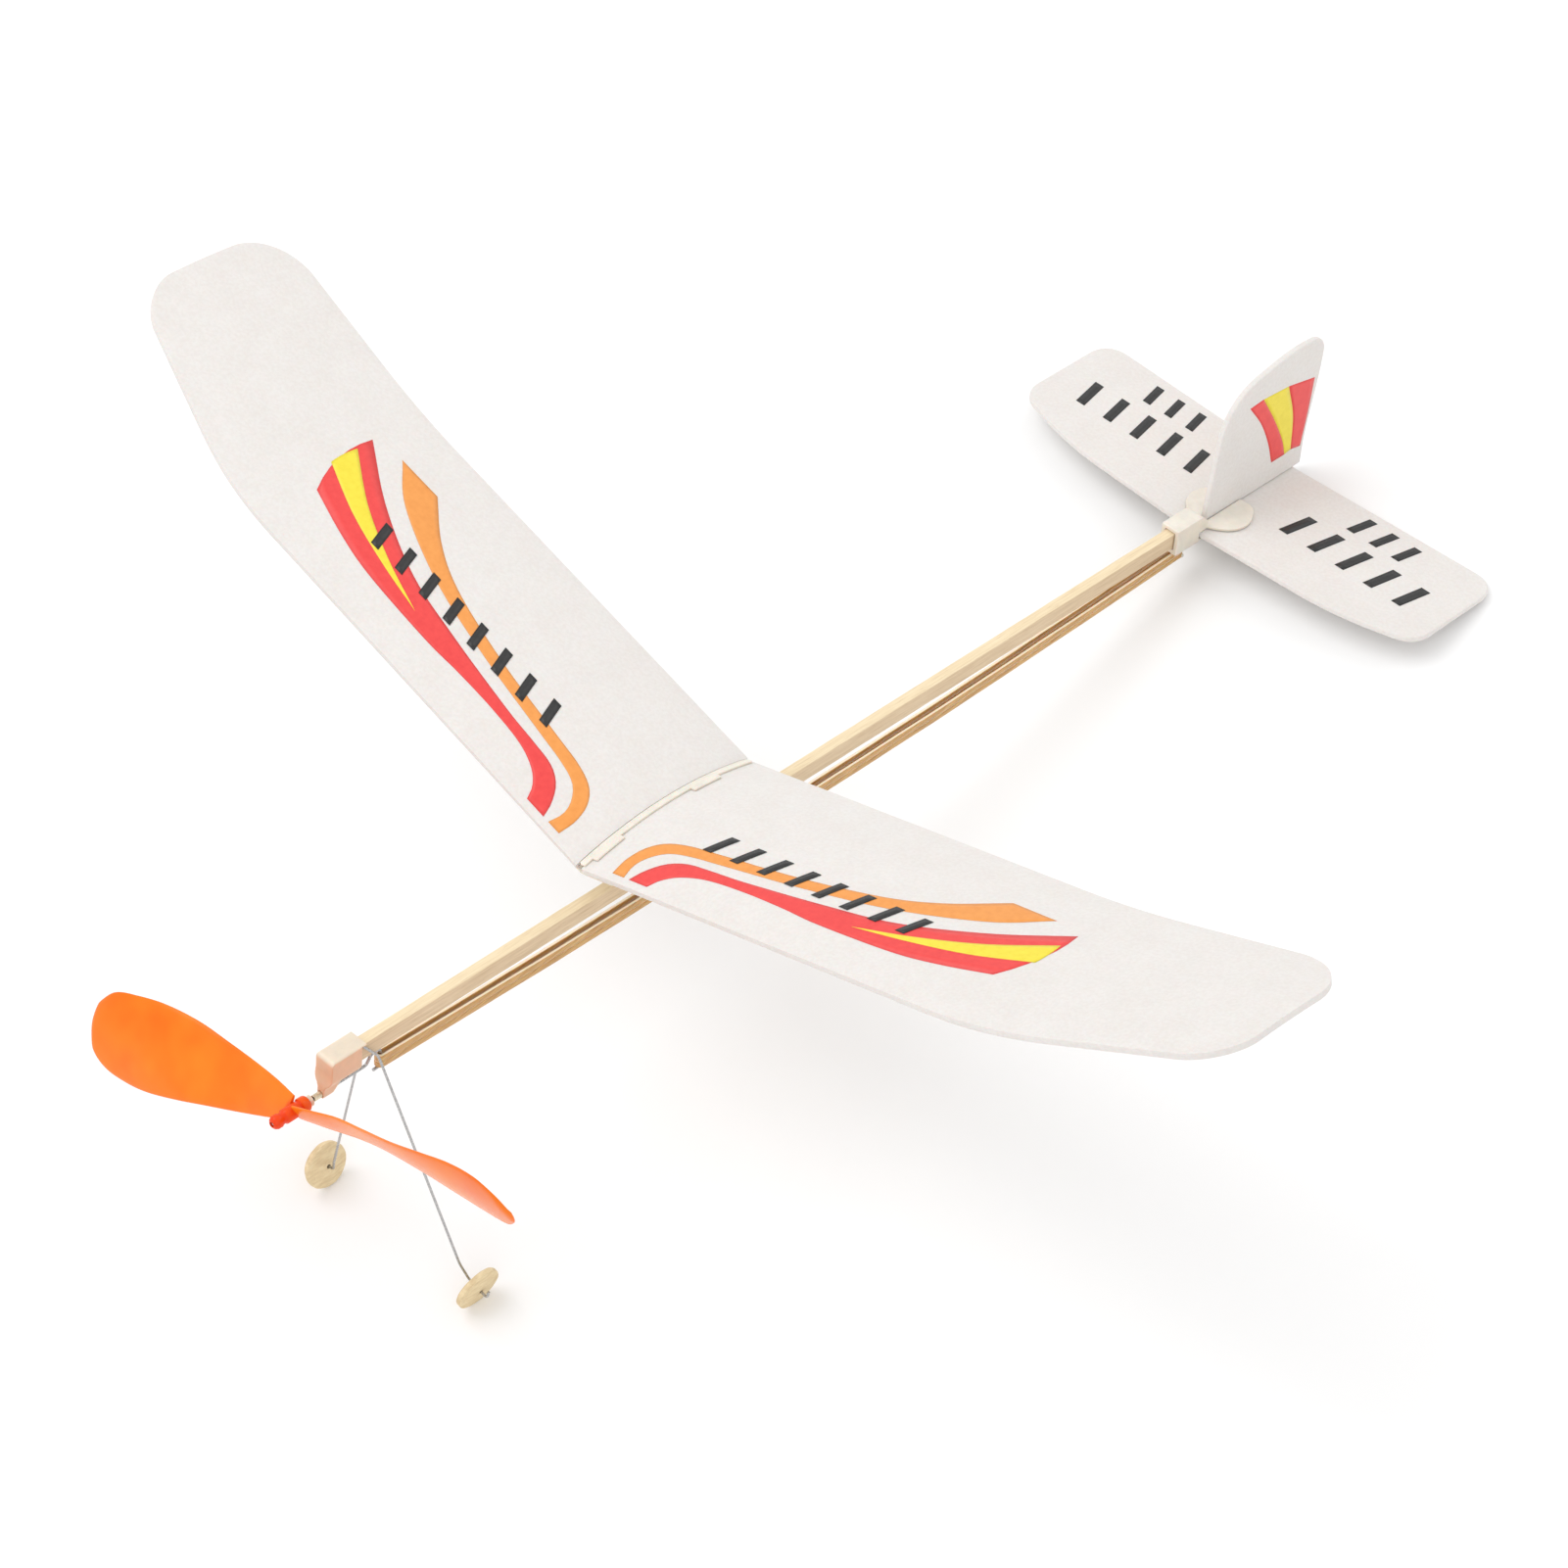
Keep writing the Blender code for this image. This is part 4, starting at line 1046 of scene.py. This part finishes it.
def rubber_band(name, front_z, rear_z):
    """A flat endless band round the two hooks, with many cross sections along its length."""
    middle, reach = (HOOK_FRONT + HOOK_REAR) / 2, (HOOK_REAR - HOOK_FRONT) / 2
    loop = []
    runs, turns = 170, 14
    for side in (1, -1):
        for step in range(runs):
            y = side * (-reach + 2 * reach * step / runs)
            loop.append((side * (BAND_GAUGE + BAND_SPREAD * y / reach), y))
        for step in range(turns):
            angle = math.pi * step / turns
            gauge = BAND_GAUGE + BAND_SPREAD * side
            loop.append((side * gauge * math.cos(angle), side * (reach + gauge * math.sin(angle))))
    rings = []
    for index, (x, y) in enumerate(loop):
        t = min(max((y + reach) / (2 * reach), 0.0), 1.0)
        wave = 0.10 * math.sin(y * 0.075) + 0.06 * math.sin(y * 0.19)
        height = (BAND_HEIGHT_FRONT + (BAND_HEIGHT_REAR - BAND_HEIGHT_FRONT) * t) / 2
        z = front_z + (rear_z - front_z) * t - BAND_SAG * 4 * t * (1 - t) + wave * 4 * t * (1 - t)
        before, after = loop[index - 1], loop[(index + 1) % len(loop)]
        along = Vector((after[0] - before[0], after[1] - before[1], 0)).normalized()
        out = Vector((along.y, -along.x, 0))
        rings.append([Vector((x, middle + y, z)) + out * a + Vector((0, 0, b))
                      for a, b in rounded_box_section(0.5, height, 0.28, 2)])
    mesh = loft(rings, closed=True, shade=50.0)
    mesh.transform(STICK)
    band = piece(name + "_strand", mesh, None, rubber, "rubber_strip", name, at=Matrix.Identity(4))
    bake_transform(band)


rubber_band("rubber_band_upper", -10.85, -9.35)
rubber_band("rubber_band_lower", -13.2, -11.45)


# ---------------------------------------------------------------- wheel wire and wheels

GEAR_RADIUS = 0.4


def landing_gear():
    """One wire: over the stick, down both legs and through both wheels."""
    hub_path = []
    for side in (-1, 1):
        axle = Vector((side * math.cos(AXLE_DROOP), 0, -math.sin(AXLE_DROOP)))
        hub = Vector((side * WHEEL_CENTRE[0], WHEEL_CENTRE[1], WHEEL_CENTRE[2]))
        inner, outer = hub - axle * 3.6, hub + axle * 4.2
        hub_path.append([Vector((side * 2.5, 16.5, 0.55)), Vector((side * 3.3, 21.7, -STICK_HEIGHT)),
                         inner + Vector((side * -2.2, -1.9, 6.0)), inner, outer,
                         outer + Vector((0, 0.6, 2.1))])
    path = rounded_path(list(reversed(hub_path[0])) + hub_path[1], 1.3, 10)
    wire = sweep(path, circle(GEAR_RADIUS, 16), up=Vector((0, 1, 0)), shade=50.0)
    piece("gear_wire", wire, "airframe", steel, "steel_wire", "landing_gear")


def wheel(name, side, body):
    """A turned disc with a raised boss, a shallow groove and a slightly uneven rim."""
    profile = ((0.65, 1.55), (0.85, 1.7), (2.0, 1.68), (2.25, 1.5), (5.3, 1.22), (5.5, 1.08), (5.8, 1.1),
               (6.9, 1.08), (7.3, 0.95), (7.5, 0.6))
    mesh = lathe(list(profile) + [(r, -z) for r, z in reversed(profile)], 96)
    for vert in mesh.vertices:
        reach = math.hypot(vert.co.x, vert.co.y) / MM
        if reach > 5.0:
            around = math.atan2(vert.co.y, vert.co.x)
            dent = 0.05 * math.sin(5 * around + side) + 0.03 * math.sin(11 * around + 2 * side) - 0.08
            vert.co *= 1 + dent * (reach - 5.0) / 2.5 / reach
    axle = Vector((side * math.cos(AXLE_DROOP), 0, -math.sin(AXLE_DROOP)))
    centre = Vector((side * WHEEL_CENTRE[0], WHEEL_CENTRE[1], WHEEL_CENTRE[2])) * MM
    place = STICK @ Matrix.Translation(centre) @ axle.to_track_quat("Z", "Y").to_matrix().to_4x4()
    piece(name + "_disc", mesh, body, wheel_wood, "wheel_wood", name, at=place)


landing_gear()
wheel("wheel_left", 1, "left_wheel")
wheel("wheel_right", -1, "right_wheel")


# ---------------------------------------------------------------- camera, light and floor

LEVEL_PITCH = math.radians(6.0)
CAMERA_AZIMUTH = math.radians(44.56)
CAMERA_ELEVATION = math.radians(46.25)
CAMERA_DISTANCE = 1413.0
CAMERA_RIGHT = 130.1
CAMERA_UP = 79.1
FOCAL_LENGTH = 117.65


def camera():
    """The view is set in a frame that is level when the stick is 6 degrees nose up."""
    level = STICK.to_3x3() @ Matrix.Rotation(LEVEL_PITCH, 3, "X")
    flat = math.cos(CAMERA_ELEVATION)
    back = Vector((flat * math.sin(CAMERA_AZIMUTH), -flat * math.cos(CAMERA_AZIMUTH),
                   math.sin(CAMERA_ELEVATION)))
    right = Vector((0, 0, 1)).cross(back).normalized()
    up = back.cross(right)
    place = level @ (right * CAMERA_RIGHT + up * CAMERA_UP + back * CAMERA_DISTANCE) * MM
    turn = level @ Matrix((right, up, back)).transposed()
    data = bpy.data.cameras.new("camera")
    data.lens = FOCAL_LENGTH
    data.sensor_width = 36.0
    data.clip_end = 20.0
    eye = bpy.data.objects.new("camera", data)
    bpy.context.scene.collection.objects.link(eye)
    eye.matrix_world = Matrix.Translation(place + STICK.translation) @ turn.to_4x4()
    bpy.context.scene.camera = eye


def lamp(name, place, size, power):
    """A square white lamp that shines on the middle of the object."""
    data = bpy.data.lights.new(name, "AREA")
    data.size = size
    data.energy = power
    light = bpy.data.objects.new(name, data)
    bpy.context.scene.collection.objects.link(light)
    light.location = place
    light.rotation_euler = (Vector((0, 0, 0.05)) - Vector(place)).to_track_quat("-Z", "Y").to_euler()


WORLD_LIGHT = 0.84
FLOOR_WIDTH = 12000


def studio():
    """Three soft lamps, an even white surround and a plain pale floor."""
    lamp("key", (-1.1, -0.5, 2.0), 1.8, 20.0)
    lamp("fill", (1.6, -1.2, 1.3), 1.8, 8.0)
    lamp("back", (0.4, 1.8, 1.4), 1.6, 6.0)
    world = bpy.data.worlds.new("studio")
    world.use_nodes = True
    world.node_tree.nodes["Background"].inputs["Color"].default_value = (1.0, 1.0, 1.0, 1.0)
    world.node_tree.nodes["Background"].inputs["Strength"].default_value = WORLD_LIGHT
    bpy.context.scene.world = world
    bpy.context.scene.view_settings.view_transform = "Standard"
    floor_mesh = sheet(2, 2, lambda a, b: Vector(((a - 0.5) * FLOOR_WIDTH, (b - 0.5) * FLOOR_WIDTH, 0.0)))
    floor_look = Look("floor", (0.93, 0.93, 0.93), 0.8)
    floor_look.bump(floor_look.noise(0.01, detail=2.0), 0.02, 0.5)
    floor = bpy.data.objects.new("floor", floor_mesh)
    floor_mesh.materials.append(floor_look.material)
    bpy.context.scene.collection.objects.link(floor)


camera()
studio()
